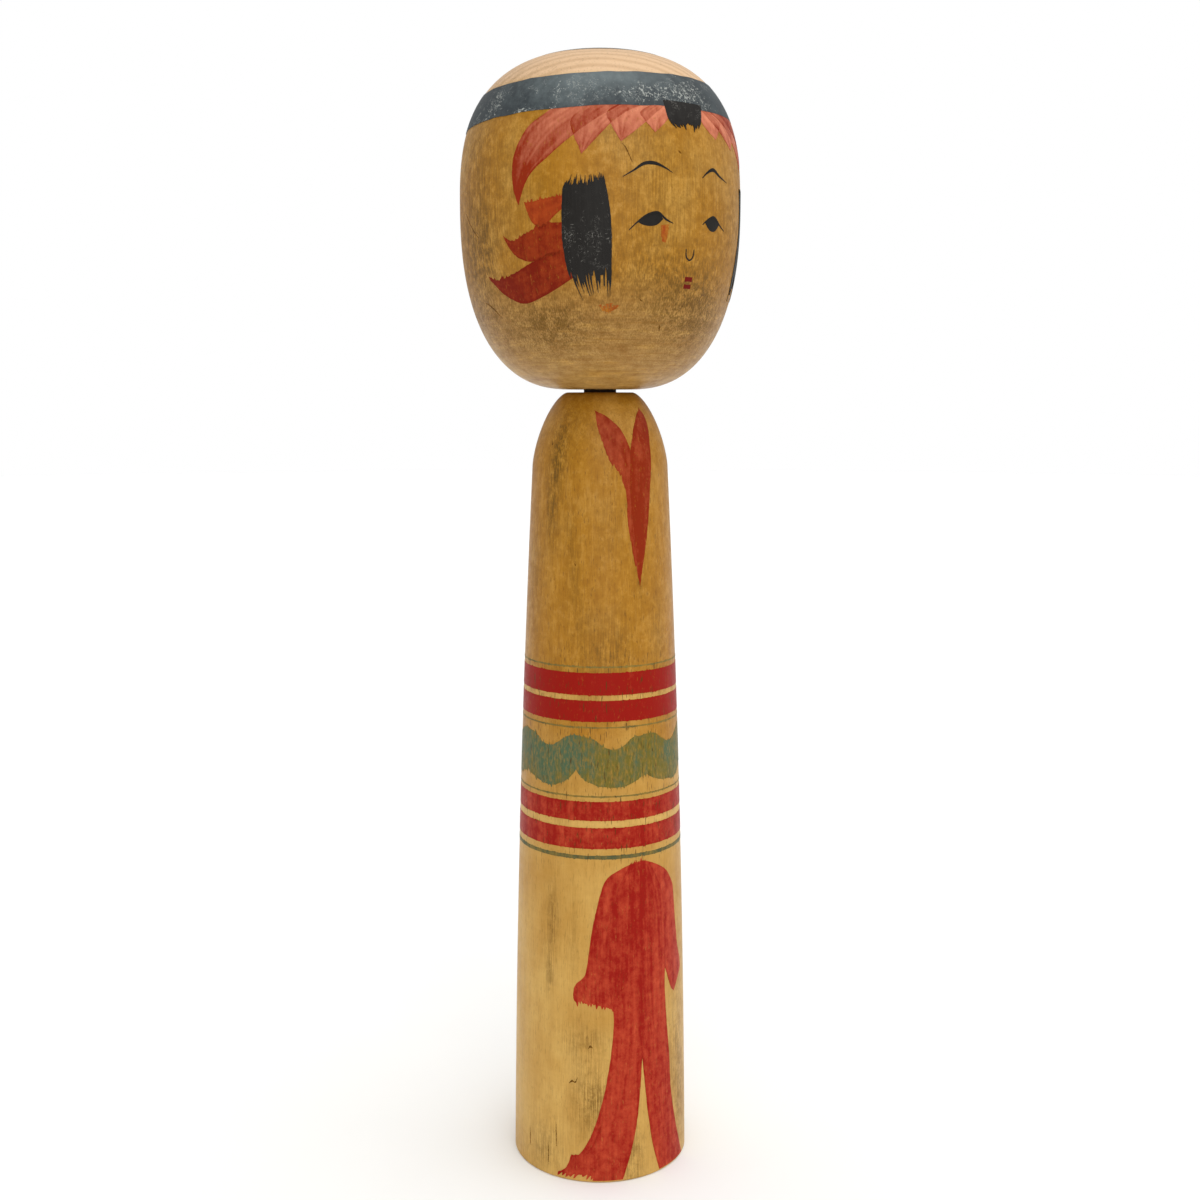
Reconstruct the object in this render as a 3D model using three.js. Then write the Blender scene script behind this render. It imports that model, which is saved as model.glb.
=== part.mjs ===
// A kokeshi: a lathe-turned wooden doll in three pieces, a tapered body, a rounded head, and the
// dowel in the neck that the head turns on.
// Millimetres, +Z up. The origin is the centre of the base, and the turning axis is Z.

import * as THREE from 'three';

// ---- Driving dimensions -----------------------------------------------------------------

const BODY = {
  height: 214.2,
  baseRadius: 24.45,
  baseEdge: 0.4, // the sanded corner round the base
  shoulderHeight: 194.5, // where the long taper ends and the shoulder starts to close in
  shoulderRadius: 18.35,
  sideSwell: 0.98, // how far the taper bellies out from a straight line, half way up
  shoulderPower: 1.6, // under 2, so the shoulder meets the flat top at a crisp corner
  topRadius: 8.8, // the flat on top that faces the head
};

const HEAD = {
  height: 86.4,
  radius: 37.05,
  widestHeight: 47.4, // height of the widest ring above the underside
  crownPower: 2.72, // over 2, so the crown is squarer than an ellipse
  jawPower: 2.4,
  undersideRadius: 8,
};

const NECK_GAP = 0.8; // the daylight between the body's top and the head's underside

const PEG = {
  radius: 4.35,
  chamfer: 0.8,
  depthInBody: 24,
  depthInHead: 20,
};

const SOCKET = {
  clearance: 0.3, // all round the peg, in both turnings
  endSpace: 1.5, // left beyond the peg's end, for air in the body and glue in the head
  mouthChamfer: 0.5,
  drillPointAngle: THREE.MathUtils.degToRad(118),
};

const SEGMENTS_ROUND = 64;
const TAPER_STEPS = 12;
const ROUND_STEPS = 14;

// ---- Outline helpers: an outline is a list of (radius, height) points --------------------

const point = (radius, height) => new THREE.Vector2(radius, height);

// The two factors of a superellipse quarter, cos^(2/power) and sin^(2/power), at each of its steps.
function quarterSteps(power, steps) {
  return Array.from({ length: steps + 1 }, (_, step) => {
    const angle = (Math.PI / 2) * (step / steps);
    return {
      across: step === steps ? 0 : Math.cos(angle) ** (2 / power),
      along: Math.sin(angle) ** (2 / power),
    };
  });
}

// A superellipse quarter that leaves `side` upright and arrives level at `end`.
function roundFromTo(side, end, power) {
  return quarterSteps(power, ROUND_STEPS).map(({ across, along }) => point(
    end.x + (side.x - end.x) * across,
    side.y + (end.y - side.y) * along,
  ));
}

// A drilled socket's wall from its mouth to the drill point on the axis. `inward` is -1 for a
// socket that goes down from `mouthHeight` and +1 for one that goes up.
function socketOutline(mouthHeight, depth, inward) {
  const radius = PEG.radius + SOCKET.clearance;
  const pointLength = radius / Math.tan(SOCKET.drillPointAngle / 2);
  return [
    point(radius + SOCKET.mouthChamfer, mouthHeight),
    point(radius, mouthHeight + inward * SOCKET.mouthChamfer),
    point(radius, mouthHeight + inward * depth),
    point(0, mouthHeight + inward * (depth + pointLength)),
  ];
}

// ---- The three outlines, each from the axis round to the axis ---------------------------

// The taper's radius: a straight line from base to shoulder with a shallow parabola of swell.
// Above the shoulder it runs on straight, for the shoulder to fall away from.
function taperRadius(height) {
  const share = height / BODY.shoulderHeight;
  const straight = BODY.baseRadius + (BODY.shoulderRadius - BODY.baseRadius) * share;
  const swell = share < 1 ? share * (1 - share) : 1 - share;
  return straight + 4 * BODY.sideSwell * swell;
}

function bodyOutline() {
  const base = [
    point(0, 0),
    point(BODY.baseRadius - BODY.baseEdge, 0),
  ];
  const taper = Array.from({ length: TAPER_STEPS + 1 }, (_, step) => {
    const height = BODY.baseEdge + (BODY.shoulderHeight - BODY.baseEdge) * (step / TAPER_STEPS);
    return point(taperRadius(height), height);
  });
  const rise = BODY.height - BODY.shoulderHeight;
  const fall = taperRadius(BODY.height) - BODY.topRadius;
  const shoulder = quarterSteps(BODY.shoulderPower, ROUND_STEPS).slice(1).map((quarter) => {
    const height = BODY.shoulderHeight + rise * quarter.along;
    return point(taperRadius(height) - fall * (1 - quarter.across), height);
  });
  const socketDepth = PEG.depthInBody + SOCKET.endSpace;
  return [...base, ...taper, ...shoulder, ...socketOutline(BODY.height, socketDepth, -1)];
}

function headOutline(underside) {
  const widest = point(HEAD.radius, underside + HEAD.widestHeight);
  const jaw = roundFromTo(widest, point(HEAD.undersideRadius, underside), HEAD.jawPower);
  const crown = roundFromTo(widest, point(0, underside + HEAD.height), HEAD.crownPower);
  const socket = socketOutline(underside, PEG.depthInHead + SOCKET.endSpace, 1);
  return [...socket.reverse(), ...jaw.reverse(), ...crown.slice(1)];
}

function pegOutline(bottom, top) {
  return [
    point(0, bottom),
    point(PEG.radius - PEG.chamfer, bottom),
    point(PEG.radius, bottom + PEG.chamfer),
    point(PEG.radius, top - PEG.chamfer),
    point(PEG.radius - PEG.chamfer, top),
    point(0, top),
  ];
}

// ---- Materials -------------------------------------------------------------------------

function wood(color, roughness) {
  return new THREE.MeshStandardMaterial({ color, roughness, metalness: 0 });
}

const waxedDogwood = wood(0xbe8c48, 0.45);
const paleCrownDogwood = wood(0xc69a5c, 0.45);
const darkDowel = wood(0x5a3f22, 0.7);

// ---- Assembly ----------------------------------------------------------------------------

// A piece turned round Z: LatheGeometry turns its outline round Y, so it is stood upright here.
function turned(name, outline, material) {
  const geometry = new THREE.LatheGeometry(outline, SEGMENTS_ROUND);
  geometry.rotateX(Math.PI / 2);
  const mesh = new THREE.Mesh(geometry, material);
  mesh.name = name;
  return mesh;
}

const headUnderside = BODY.height + NECK_GAP;

const kokeshi = new THREE.Group();
kokeshi.add(turned('body', bodyOutline(), waxedDogwood));
kokeshi.add(turned('head', headOutline(headUnderside), paleCrownDogwood));
kokeshi.add(turned(
  'neck_peg',
  pegOutline(BODY.height - PEG.depthInBody, headUnderside + PEG.depthInHead),
  darkDowel,
));

export default kokeshi;
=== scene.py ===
"""The look of a turned wooden doll: waxed dogwood, brushed dyes and ink, and the stage it stands on.

Every length is in metres unless a name or comment says millimetres. Painted shapes are written as
(degrees round from the front, millimetres up), the way a painter would mark them on the wood.
"""

import math

import bmesh
import bpy
import numpy as np
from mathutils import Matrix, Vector


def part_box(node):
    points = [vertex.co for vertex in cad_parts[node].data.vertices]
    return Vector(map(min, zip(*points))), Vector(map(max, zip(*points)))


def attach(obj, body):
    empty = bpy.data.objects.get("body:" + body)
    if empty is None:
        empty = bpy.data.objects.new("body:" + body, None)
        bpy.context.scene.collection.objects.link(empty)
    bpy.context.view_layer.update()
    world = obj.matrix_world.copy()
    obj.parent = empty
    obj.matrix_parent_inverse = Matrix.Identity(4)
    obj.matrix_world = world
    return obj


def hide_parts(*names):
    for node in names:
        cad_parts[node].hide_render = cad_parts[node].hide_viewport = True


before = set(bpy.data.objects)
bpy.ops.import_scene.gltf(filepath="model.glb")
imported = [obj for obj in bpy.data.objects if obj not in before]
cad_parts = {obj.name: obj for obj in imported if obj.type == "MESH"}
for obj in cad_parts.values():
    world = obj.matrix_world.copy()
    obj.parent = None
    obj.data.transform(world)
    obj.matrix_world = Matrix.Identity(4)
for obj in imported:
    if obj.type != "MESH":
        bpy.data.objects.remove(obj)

bl_info = {
    "name": "Turned Dogwood Doll",
    "version": (1, 0, 0),
    "blender": (4, 5, 0),
    "location": "View3D > Sidebar > Doll",
    "description": "Builds the wood, the painted strokes and the studio of a turned and painted doll",
    "category": "Add Mesh",
}

MM = 0.001
PER_MM = 1.0 / MM
FULL_TURN = 2.0 * math.pi
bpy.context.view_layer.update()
BODY_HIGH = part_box("body")[1]
HEAD_LOW, HEAD_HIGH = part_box("head")
PEG_LOW, PEG_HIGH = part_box("neck_peg")
DRILL_POINT = math.radians(59.0)  # half of a drill's 118 degree point
MERGED = 0.0004 * MM  # points nearer to each other than this become one
SHARP = math.radians(38.0)  # edges that fold more than this are shaded sharp
FACE_DEGREE = 0.62  # millimetres across the face in one degree


def linear(hex_colour):
    """An sRGB hex colour as linear red, green, blue: the sRGB curve undone on each channel."""
    parts = [int(hex_colour[i : i + 2], 16) / 255.0 for i in (1, 3, 5)]
    return tuple(c / 12.92 if c <= 0.04045 else ((c + 0.055) / 1.055) ** 2.4 for c in parts)


def colour_property(name, description, hex_colour):
    return bpy.props.FloatVectorProperty(
        name=name,
        description=description,
        default=linear(hex_colour),
        subtype="COLOR",
        size=3,
        min=0.0,
        max=1.0,
    )


def length_property(name, description, default):
    return bpy.props.FloatProperty(
        name=name, description=description, default=default, min=0.0, unit="LENGTH"
    )


class DollTurning(bpy.types.PropertyGroup):
    """The sizes a turner would set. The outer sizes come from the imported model."""

    base_radius: length_property("Base radius", "Radius of the foot", BODY_HIGH.x)
    base_edge: length_property("Base edge", "Sanded corner round the foot", 0.4 * MM)
    shoulder_height: length_property("Shoulder height", "Where the taper ends", 194.5 * MM)
    shoulder_radius: length_property("Shoulder radius", "Radius where the taper ends", 18.35 * MM)
    side_swell: length_property("Side swell", "How far the taper bellies out half way up", 0.98 * MM)
    shoulder_power: bpy.props.FloatProperty(
        name="Shoulder power",
        description="Superellipse power of the shoulder; 2 is an ellipse",
        default=1.6,
    )
    top_radius: length_property("Top radius", "Radius of the flat that faces the head", 8.8 * MM)
    head_radius: length_property("Head radius", "Radius of the head at its widest", HEAD_HIGH.x)
    widest_height: length_property("Widest height", "Height of the widest ring above the chin", 47.4 * MM)
    crown_power: bpy.props.FloatProperty(
        name="Crown power", description="Superellipse power of the crown", default=2.72
    )
    jaw_power: bpy.props.FloatProperty(
        name="Jaw power", description="Superellipse power of the jaw", default=2.4
    )
    underside_radius: length_property("Underside radius", "Radius of the flat under the head", 8.0 * MM)
    peg_radius: length_property("Peg radius", "Radius of the dowel in the neck", PEG_HIGH.x)
    peg_chamfer: length_property("Peg chamfer", "Bevel at the dowel's ends", 0.8 * MM)
    socket_clearance: length_property("Socket clearance", "Gap all round the dowel", 0.3 * MM)
    socket_end_space: length_property("Socket end space", "Gap past the dowel's end", 1.5 * MM)
    mouth_chamfer: length_property("Mouth chamfer", "Bevel at a socket's mouth", 0.5 * MM)
    columns: bpy.props.IntProperty(
        name="Columns", description="Facets round a turned piece", default=320, min=32, max=512
    )


class DollPaint(bpy.types.PropertyGroup):
    """How thick the paint lies, and how far the head is turned on its peg."""

    film: length_property("Paint film", "How far a stroke stands proud of the wood", 0.05 * MM)
    layer: length_property("Layer step", "How much higher each overlapping stroke lies", 0.02 * MM)
    buried: length_property("Buried depth", "How far a film reaches into the wood", 0.2 * MM)
    face_turn: bpy.props.FloatProperty(
        name="Face turn",
        description="How far the painted face is turned from the body's front",
        default=math.radians(6.0),
        unit="ROTATION",
    )


class DollColours(bpy.types.PropertyGroup):
    """The colours of the wood, the dyes and the ink."""

    wood_ochre: colour_property("Ochre wood", "Waxed dogwood darkened by handling", "#AC771E")
    wood_pale: colour_property("Pale wood", "Waxed dogwood where it has darkened least", "#D2A95C")
    # partly painted reflection of the pale floor: the greyer, paler wood under the head
    wood_dull_and_floor_sheen: colour_property("Dull wood", "Greyed wood under the head, handled least", "#A88A5C")
    # partly painted highlight: the crown's pale colour also stands in for the top light and the grazing sheen
    # on the crown
    wood_crown_and_top_light: colour_property("Crown wood", "End grain on the crown, nearly bare", "#E0BC94")
    wood_grain: colour_property("Grain", "The darker lines of the grain", "#86540F")
    wood_stain: colour_property("Stain", "Old olive-brown stains from handling", "#6C4B10")
    wood_light: colour_property("Light figure", "Palest clouds of the wood's figure", "#D0A050")
    wood_pore: colour_property("Pores", "Dark pores and specks of dirt", "#523611")
    # The dowel's colours are painted shadow: the neck shows dark because it lies in the narrow shaded gap
    # between head and body
    peg_wood: colour_property("Peg wood", "The dark old dowel", "#4A3421")
    peg_painted_shadow_fibres: colour_property("Dark peg fibres", "The darkest fibres of the dowel", "#241809")
    ink: colour_property("Ink", "Carbon ink of hair and features", "#1C1916")
    ink_rub: colour_property("Rubbed ink", "Pale flakes on the hair", "#6E6C66")
    ink_thin: colour_property("Thin ink", "Ink where it has thinned to grey", "#2E2C29")
    # Both ring colours are partly painted reflection: lighter and bluer than the ink, as the upward-facing
    # ring mirrors the bright room above; the slate is also thinned ink
    ring: colour_property("Ring ink", "Blue-black ink of the crown ring", "#383E41")
    ring_thin_and_sheen: colour_property("Thin ring ink", "Ring ink where it has thinned to slate", "#6C7677")
    ring_scuff: colour_property("Ring scuff", "Whitish rubs on the crown ring", "#B4B7B0")
    kase_thin: colour_property("Thin coral", "One thin coat of red dye on the head", "#D88666")
    kase_deep: colour_property("Deep coral", "Red dye where strokes pool and overlap", "#8C2A10")
    leaf_thin: colour_property("Thin brick", "Leaf strokes where the brush ran dry", "#A4421A")
    leaf_deep: colour_property("Deep brick", "Leaf strokes at full strength", "#741A06")
    red_thin: colour_property("Thin red", "Red dye on the body, one coat", "#C04A2E")
    red_deep: colour_property("Deep red", "Red dye on the body where it pools", "#92160C")
    petal_thin: colour_property("Thin petal red", "Chest strokes where they are worn", "#AE4E2E")
    petal_deep: colour_property("Deep petal red", "Chest strokes at full strength", "#88280C")
    green_olive: colour_property("Olive green", "Green dye yellowed by age", "#6B6127")
    green_teal: colour_property("Teal green", "Green dye where it has kept its blue", "#4D6147")
    line_thin: colour_property("Thin line green", "The thin green lines where they are faint", "#8A7234")
    line_deep: colour_property("Deep line green", "The thin green lines at full strength", "#505438")
    smudge: colour_property("Smudge", "Red dye smeared thin over the wood", "#AC7024")
    smudge_deep: colour_property("Deep smudge", "Red dye smeared where it is thickest", "#9A4218")
    lip: colour_property("Lip red", "The red of the mouth", "#6A150E")


class DollStage(bpy.types.PropertyGroup):
    """The floor, the lights and the camera."""

    floor_radius: length_property("Floor radius", "Radius of the pale floor", 4.0)
    floor_colour: colour_property("Floor", "Matte white paper", "#F4F4F2")
    floor_shade: colour_property("Floor shade", "The faint mottling of the paper", "#E4E4E2")
    camera_distance: length_property("Camera distance", "From the doll's axis", 0.400)
    camera_height: length_property("Camera height", "Above the floor", 0.2124)
    camera_azimuth: bpy.props.FloatProperty(
        name="Camera azimuth",
        description="How far round the camera stands from the doll's front",
        default=math.radians(-30.0),
        unit="ROTATION",
    )
    camera_pitch: bpy.props.FloatProperty(
        name="Camera pitch",
        description="How far the camera looks down",
        default=math.radians(7.8),
        unit="ROTATION",
    )
    lens: bpy.props.FloatProperty(
        name="Lens", description="Focal length on a 36 mm sensor", default=43.98, unit="CAMERA"
    )
    ceiling_strength: bpy.props.FloatProperty(
        name="Ceiling light", description="Broad even light from above", default=1.7
    )
    front_strength: bpy.props.FloatProperty(
        name="Front light", description="Soft light from the camera's side of the doll", default=0.85
    )
    room_behind: bpy.props.FloatProperty(
        name="Room behind", description="Brightness of the white room behind the doll", default=0.95
    )
    room_before: bpy.props.FloatProperty(
        name="Room in front", description="Brightness of the room on the camera's side", default=0.22
    )
    carded: bpy.props.FloatProperty(
        name="Carded", description="Share of the room that the wax mirrors", default=0.55
    )


# ---------------------------------------------------------------- turned shapes


def quarter(power, steps):
    """A quarter superellipse: across is cos^(2/power) and along is sin^(2/power) of an even turn."""
    turn = np.linspace(0.0, math.pi / 2.0, steps)
    across = np.clip(np.cos(turn), 0.0, 1.0) ** (2.0 / power)
    across[-1] = 0.0
    return across, np.sin(turn) ** (2.0 / power)


def straight(start, end, steps):
    """Evenly spaced points on a straight line, its last point left for the next stretch."""
    return np.linspace(start, end, steps, endpoint=False)


def taper_radius(turning, height):
    """A straight taper from foot to shoulder, bellied out by a parabola that is highest half way up."""
    share = height / turning.shoulder_height
    line = turning.base_radius + (turning.shoulder_radius - turning.base_radius) * share
    swell = np.where(share < 1.0, share * (1.0 - share), 1.0 - share)
    return line + 4.0 * turning.side_swell * swell


def body_side(turning):
    """The body's outside, foot to top: the taper, then a superellipse quarter closing to the flat."""
    low = np.linspace(turning.base_edge, turning.shoulder_height, 190)
    rise = BODY_HIGH.z - turning.shoulder_height
    fall = taper_radius(turning, BODY_HIGH.z) - turning.top_radius
    across, along = quarter(turning.shoulder_power, 48)
    high = turning.shoulder_height + rise * along[1:]
    radius = np.concatenate(
        [taper_radius(turning, low), taper_radius(turning, high) - fall * (1.0 - across[1:])]
    )
    return np.stack([radius, np.concatenate([low, high])], axis=1)


def head_side(turning):
    """The head's outside, chin to crown: one superellipse quarter down and one up from the widest ring."""
    across, along = quarter(turning.jaw_power, 72)
    jaw_radius = turning.underside_radius + (turning.head_radius - turning.underside_radius) * across
    jaw_height = HEAD_LOW.z + turning.widest_height * (1.0 - along)
    across, along = quarter(turning.crown_power, 84)
    crown_radius = turning.head_radius * across
    widest = HEAD_LOW.z + turning.widest_height
    crown_height = widest + (HEAD_HIGH.z - widest) * along
    jaw = np.stack([jaw_radius, jaw_height], axis=1)[::-1]
    crown = np.stack([crown_radius, crown_height], axis=1)
    return np.concatenate([jaw, crown[1:]])


def socket_side(turning, mouth, end, inward):
    """A drilled socket from its mouth to its point: a small bevel, a straight wall and a 118 degree cone."""
    radius = turning.peg_radius + turning.socket_clearance
    floor = end + inward * turning.socket_end_space
    point = floor + inward * radius / math.tan(DRILL_POINT)
    bevel = (radius + turning.mouth_chamfer, mouth)
    wall = (radius, mouth + inward * turning.mouth_chamfer)
    return np.concatenate(
        [
            straight(bevel, wall, 2),
            straight(wall, (radius, floor), 20),
            straight((radius, floor), (0.0, point), 6),
            [(0.0, point)],
        ]
    )


def turned_mesh(name, outline, columns):
    """A lathe surface: each (radius, height) of the outline is carried once round the Z axis."""
    angle = np.arange(columns) * FULL_TURN / columns
    ring = np.abs(outline[:, 0]) > 1e-9
    radius = outline[:, 0][:, None]
    height = outline[:, 1][:, None] + np.zeros((1, columns))
    grid = np.stack([radius * np.sin(angle), -radius * np.cos(angle), height], axis=2)
    index = np.arange(len(outline) * columns).reshape(len(outline), columns)
    index[~ring] = index[~ring][:, :1]
    after = np.roll(index, -1, axis=1)
    faces = np.stack([index[:-1], after[:-1], after[1:], index[1:]], axis=2).reshape(-1, 4)
    return finished_mesh(name, grid.reshape(-1, 3), faces, {})


def finished_mesh(name, points, faces, values):
    """A mesh from arrays: doubles merged, flat faces dropped, closed shells turned outwards, soft shading."""
    mesh = bpy.data.meshes.new(name)
    mesh.from_pydata(points.tolist(), [], faces.tolist())
    for key, value in values.items():
        layer = mesh.attributes.new(key, "FLOAT", "POINT")
        layer.data.foreach_set("value", value.astype(np.float32))
    work = bmesh.new()
    work.from_mesh(mesh)
    bmesh.ops.remove_doubles(work, verts=work.verts, dist=MERGED)
    bmesh.ops.dissolve_degenerate(work, edges=work.edges, dist=MERGED)
    loose = [vert for vert in work.verts if not vert.link_faces]
    bmesh.ops.delete(work, geom=loose, context="VERTS")
    bmesh.ops.recalc_face_normals(work, faces=work.faces)
    work.to_mesh(mesh)
    work.free()
    mesh.shade_smooth()
    mesh.set_sharp_from_angle(angle=SHARP)
    return mesh


class Skin:
    """The outside of a turned piece, measured by the length along its outline from the bottom."""

    def __init__(self, side):
        step = np.diff(side, axis=0)
        self.side = side
        self.along = np.concatenate([[0.0], np.cumsum(np.hypot(step[:, 0], step[:, 1]))])
        tangent = np.gradient(side, self.along, axis=0)
        tangent /= np.linalg.norm(tangent, axis=1)[:, None]
        self.out = np.stack([tangent[:, 1], -tangent[:, 0]], axis=1)

    def at_height(self, height):
        """The length along the outline at a height."""
        return np.interp(height, self.side[:, 1], self.along)

    def at_crown_radius(self, radius):
        """The length along the outline at a radius, on the stretch that closes in to the top."""
        widest = int(np.argmax(self.side[:, 0]))
        closing = slice(None, widest, -1)
        return np.interp(radius, self.side[closing, 0], self.along[closing])

    def place(self, angle, along, out):
        """The point at an angle round and a length along, moved out along the surface's own normal."""
        radius = np.interp(along, self.along, self.side[:, 0])
        height = np.interp(along, self.along, self.side[:, 1])
        out_radius = np.interp(along, self.along, self.out[:, 0])
        out_height = np.interp(along, self.along, self.out[:, 1])
        radius = radius + out_radius * out
        return np.stack(
            [radius * np.sin(angle), -radius * np.cos(angle), height + out_height * out], axis=-1
        )


# ---------------------------------------------------------------- brush work


ROUND = 900  # columns once round a painted band
WAVERS = (60.0, 17.0)  # how often a stroke's edges waver along it, quickly and slowly
WAVER_UP = 0.4  # how far an edge wavers up and down, as a share of its wavering across
MARKS, MARK_GROUPS = 46.0, 7.0  # how often bristle marks come along an edge, and how often they crowd
MARK_HEIGHT = 1.8  # height of the tallest bristle marks, as a share of teeth
ROUND_NOISE = 9.0  # how finely the noise changes once round the piece


def value_noise(x, y, seed):
    """Soft noise from 0 to 1: random values on a unit grid, joined by the smooth step 3t^2 - 2t^3."""
    x = np.asarray(x, float)
    y = np.asarray(y, float) + np.zeros_like(x)
    low_x, low_y = np.floor(x).astype(int), np.floor(y).astype(int)
    wide, tall = int(np.ptp(low_x)) + 2, int(np.ptp(low_y)) + 2
    table = np.random.default_rng(seed).random((wide, tall))
    i, j = low_x - low_x.min(), low_y - low_y.min()
    u, v = x - low_x, y - low_y
    u, v = u * u * (3.0 - 2.0 * u), v * v * (3.0 - 2.0 * v)
    near = table[i, j] * (1.0 - u) + table[i + 1, j] * u
    far = table[i, j + 1] * (1.0 - u) + table[i + 1, j + 1] * u
    return near * (1.0 - v) + far * v


def smooth_line(points, t):
    """A smooth curve through a few points: cubic Hermite spans, t from 0 to 1 by chord length."""
    points = np.asarray(points, float)
    step = np.linalg.norm(np.diff(points, axis=0), axis=1)
    knots = np.concatenate([[0.0], np.cumsum(step)]) / step.sum()
    slope = np.gradient(points, knots, axis=0)
    t = np.clip(t, 0.0, 1.0)
    k = np.clip(np.searchsorted(knots, t, side="right") - 1, 0, len(points) - 2)
    span = (knots[k + 1] - knots[k])[..., None]
    s = ((t - knots[k])[..., None]) / span
    start = (2 * s**3 - 3 * s**2 + 1) * points[k] + (s**3 - 2 * s**2 + s) * span * slope[k]
    end = (-2 * s**3 + 3 * s**2) * points[k + 1] + (s**3 - s**2) * span * slope[k + 1]
    return start + end


def bristle_ends(u, count, depth, seed, point=1.4):
    """How far each column of a stroke stops short: one tooth for each bristle of the brush.

    Across a tooth the cut grows as |2t - 1|^point from its tip, so a point under 1 gives a thin spike. The
    gaps between the teeth are cut to different depths too.
    """
    place = u * count
    short = np.random.default_rng(seed).random(count + 1)[np.floor(place).astype(int)]
    roots = np.random.default_rng(seed + 500).random(count + 2)
    root = 0.45 + 0.55 * roots[np.round(place).astype(int)]
    gap = np.abs(2.0 * (place - np.floor(place)) - 1.0) ** point
    reach = 0.8 * short**1.5
    return depth * (reach + np.maximum(root - reach, 0.0) * gap)


def brushed(
    skin, edges, rows, columns, turn=0.0, lift=0.0, start=None, end=None, shake=0.12, teeth=0.0, seed=1
):
    """A stroke between two edge curves: point = edge_a(v) (1 - u) + edge_b(v) u, u across and v along.

    start and end are shares cut off each column, for ragged ends. shake is the unevenness of both edges in
    millimetres, and teeth the height of the bristle marks that stand up from the first edge. The load is how
    much dye the stroke carries: uneven by bristle across, slower along.
    """
    u = np.linspace(0.0, 1.0, columns)[None, :]
    v = np.linspace(0.0, 1.0, rows)[:, None]
    low = np.zeros(columns) if start is None else start
    high = np.zeros(columns) if end is None else end
    t = low + (1.0 - low - high) * v
    t = t + np.zeros_like(u)
    side_a, side_b = smooth_line(edges[0], t), smooth_line(edges[1], t)
    radius = np.interp(skin.at_height(side_a[..., 1] * MM), skin.along, skin.side[:, 0])
    per_mm = np.degrees(MM / np.maximum(radius, 4.0 * MM))
    quick, slow = (t * often for often in WAVERS)
    waver_a = value_noise(quick, 0.0, seed) + value_noise(slow, 0.0, seed + 1) - 1.0
    waver_b = value_noise(quick, 0.0, seed + 2) + value_noise(slow, 0.0, seed + 3) - 1.0
    side_a = side_a + np.stack([waver_a * shake * per_mm, waver_a * WAVER_UP * shake], axis=-1)
    side_b = side_b + np.stack([waver_b * shake * per_mm, waver_b * WAVER_UP * shake], axis=-1)
    marks = value_noise(t * MARKS, 0.0, seed + 6) ** 3.0 * value_noise(t * MARK_GROUPS, 0.0, seed + 7)
    side_a = side_a + np.stack([0.0 * t, MARK_HEIGHT * teeth * marks], axis=-1)
    spot = side_a * (1.0 - u[..., None]) + side_b * u[..., None]
    across = u + np.zeros_like(v)
    streaks = 0.6 * value_noise(across * columns / 4.0, t * 5.0, seed + 4)
    streaks += 0.4 * value_noise(across * columns / 9.0, t * 3.0, seed + 5)
    pool = np.abs(2.0 * across - 1.0) ** 8.0
    load = 0.62 + 0.5 * (streaks - 0.5) + 0.16 * pool
    return {
        "angle": np.radians(spot[..., 0]) + turn,
        "along": skin.at_height(spot[..., 1] * MM),
        "lift": np.full(spot.shape[:2], lift),
        "load": load,
        "closed": False,
    }


def banded(skin, low, high, rows, columns, lift, seed, shake=0.1, bleed=0.0):
    """A band painted while the piece spins: its edges are low(angle) and high(angle), in metres up.

    shake is the slow unevenness of both edges, and bleed how far the dye has crept along single
    fibres past them, both in millimetres.
    """
    angle = np.arange(columns) * FULL_TURN / columns
    u = np.linspace(0.0, 1.0, rows)[:, None]
    turn_noise = np.stack([np.cos(angle), np.sin(angle)]) * ROUND_NOISE
    uneven_low = (value_noise(turn_noise[0], turn_noise[1], seed) - 0.5) * shake * MM
    uneven_high = (value_noise(turn_noise[0], turn_noise[1], seed + 1) - 0.5) * shake * MM
    fibre = np.arange(columns) * 0.45
    crept_low = bleed * MM * value_noise(fibre, 0.0, seed + 5) ** 6
    crept_high = bleed * MM * value_noise(fibre, 0.0, seed + 6) ** 6
    low_edge = skin.at_height(low(angle) + uneven_low - crept_low)
    high_edge = skin.at_height(high(angle) + uneven_high + crept_high)
    along = low_edge * (1.0 - u) + high_edge * u
    around = turn_noise[:, None, :] + 0.0 * u
    streak = value_noise(around[0], around[1], seed + 2)
    lines = value_noise(u * rows / 3.0 + 0.0 * angle, 0.0, seed + 3)
    pool = np.abs(2.0 * u - 1.0) ** 6.0
    load = 0.66 + 0.3 * (streak - 0.5) + 0.12 * (lines - 0.5) + 0.14 * pool
    return {
        "angle": angle[None, :] + np.zeros_like(along),
        "along": along,
        "lift": np.full(along.shape, lift),
        "load": load,
        "closed": True,
    }


def inside(angle, along, patch):
    """True where a point lies within a patch's border: an odd number of border crossings to one side."""
    border_angle = np.concatenate(
        [patch["angle"][0], patch["angle"][1:, -1], patch["angle"][-1, -2::-1], patch["angle"][-2:0:-1, 0]]
    )
    border_along = np.concatenate(
        [patch["along"][0], patch["along"][1:, -1], patch["along"][-1, -2::-1], patch["along"][-2:0:-1, 0]]
    )
    next_angle, next_along = np.roll(border_angle, -1), np.roll(border_along, -1)
    crossings = np.zeros(angle.shape, int)
    for a0, l0, a1, l1 in zip(border_angle, border_along, next_angle, next_along):
        if l0 == l1:
            continue
        spans = (along >= min(l0, l1)) & (along < max(l0, l1))
        crossings += spans & (a0 + (along - l0) * (a1 - a0) / (l1 - l0) > angle)
    return crossings % 2 == 1


def overlaid(patches, extra):
    """Adds dye to each patch wherever an earlier one lies under it, as two coats of a dye show darker."""
    for number, patch in enumerate(patches):
        for under in patches[:number]:
            patch["load"] = patch["load"] + extra * inside(patch["angle"], patch["along"], under)
    return patches


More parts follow.
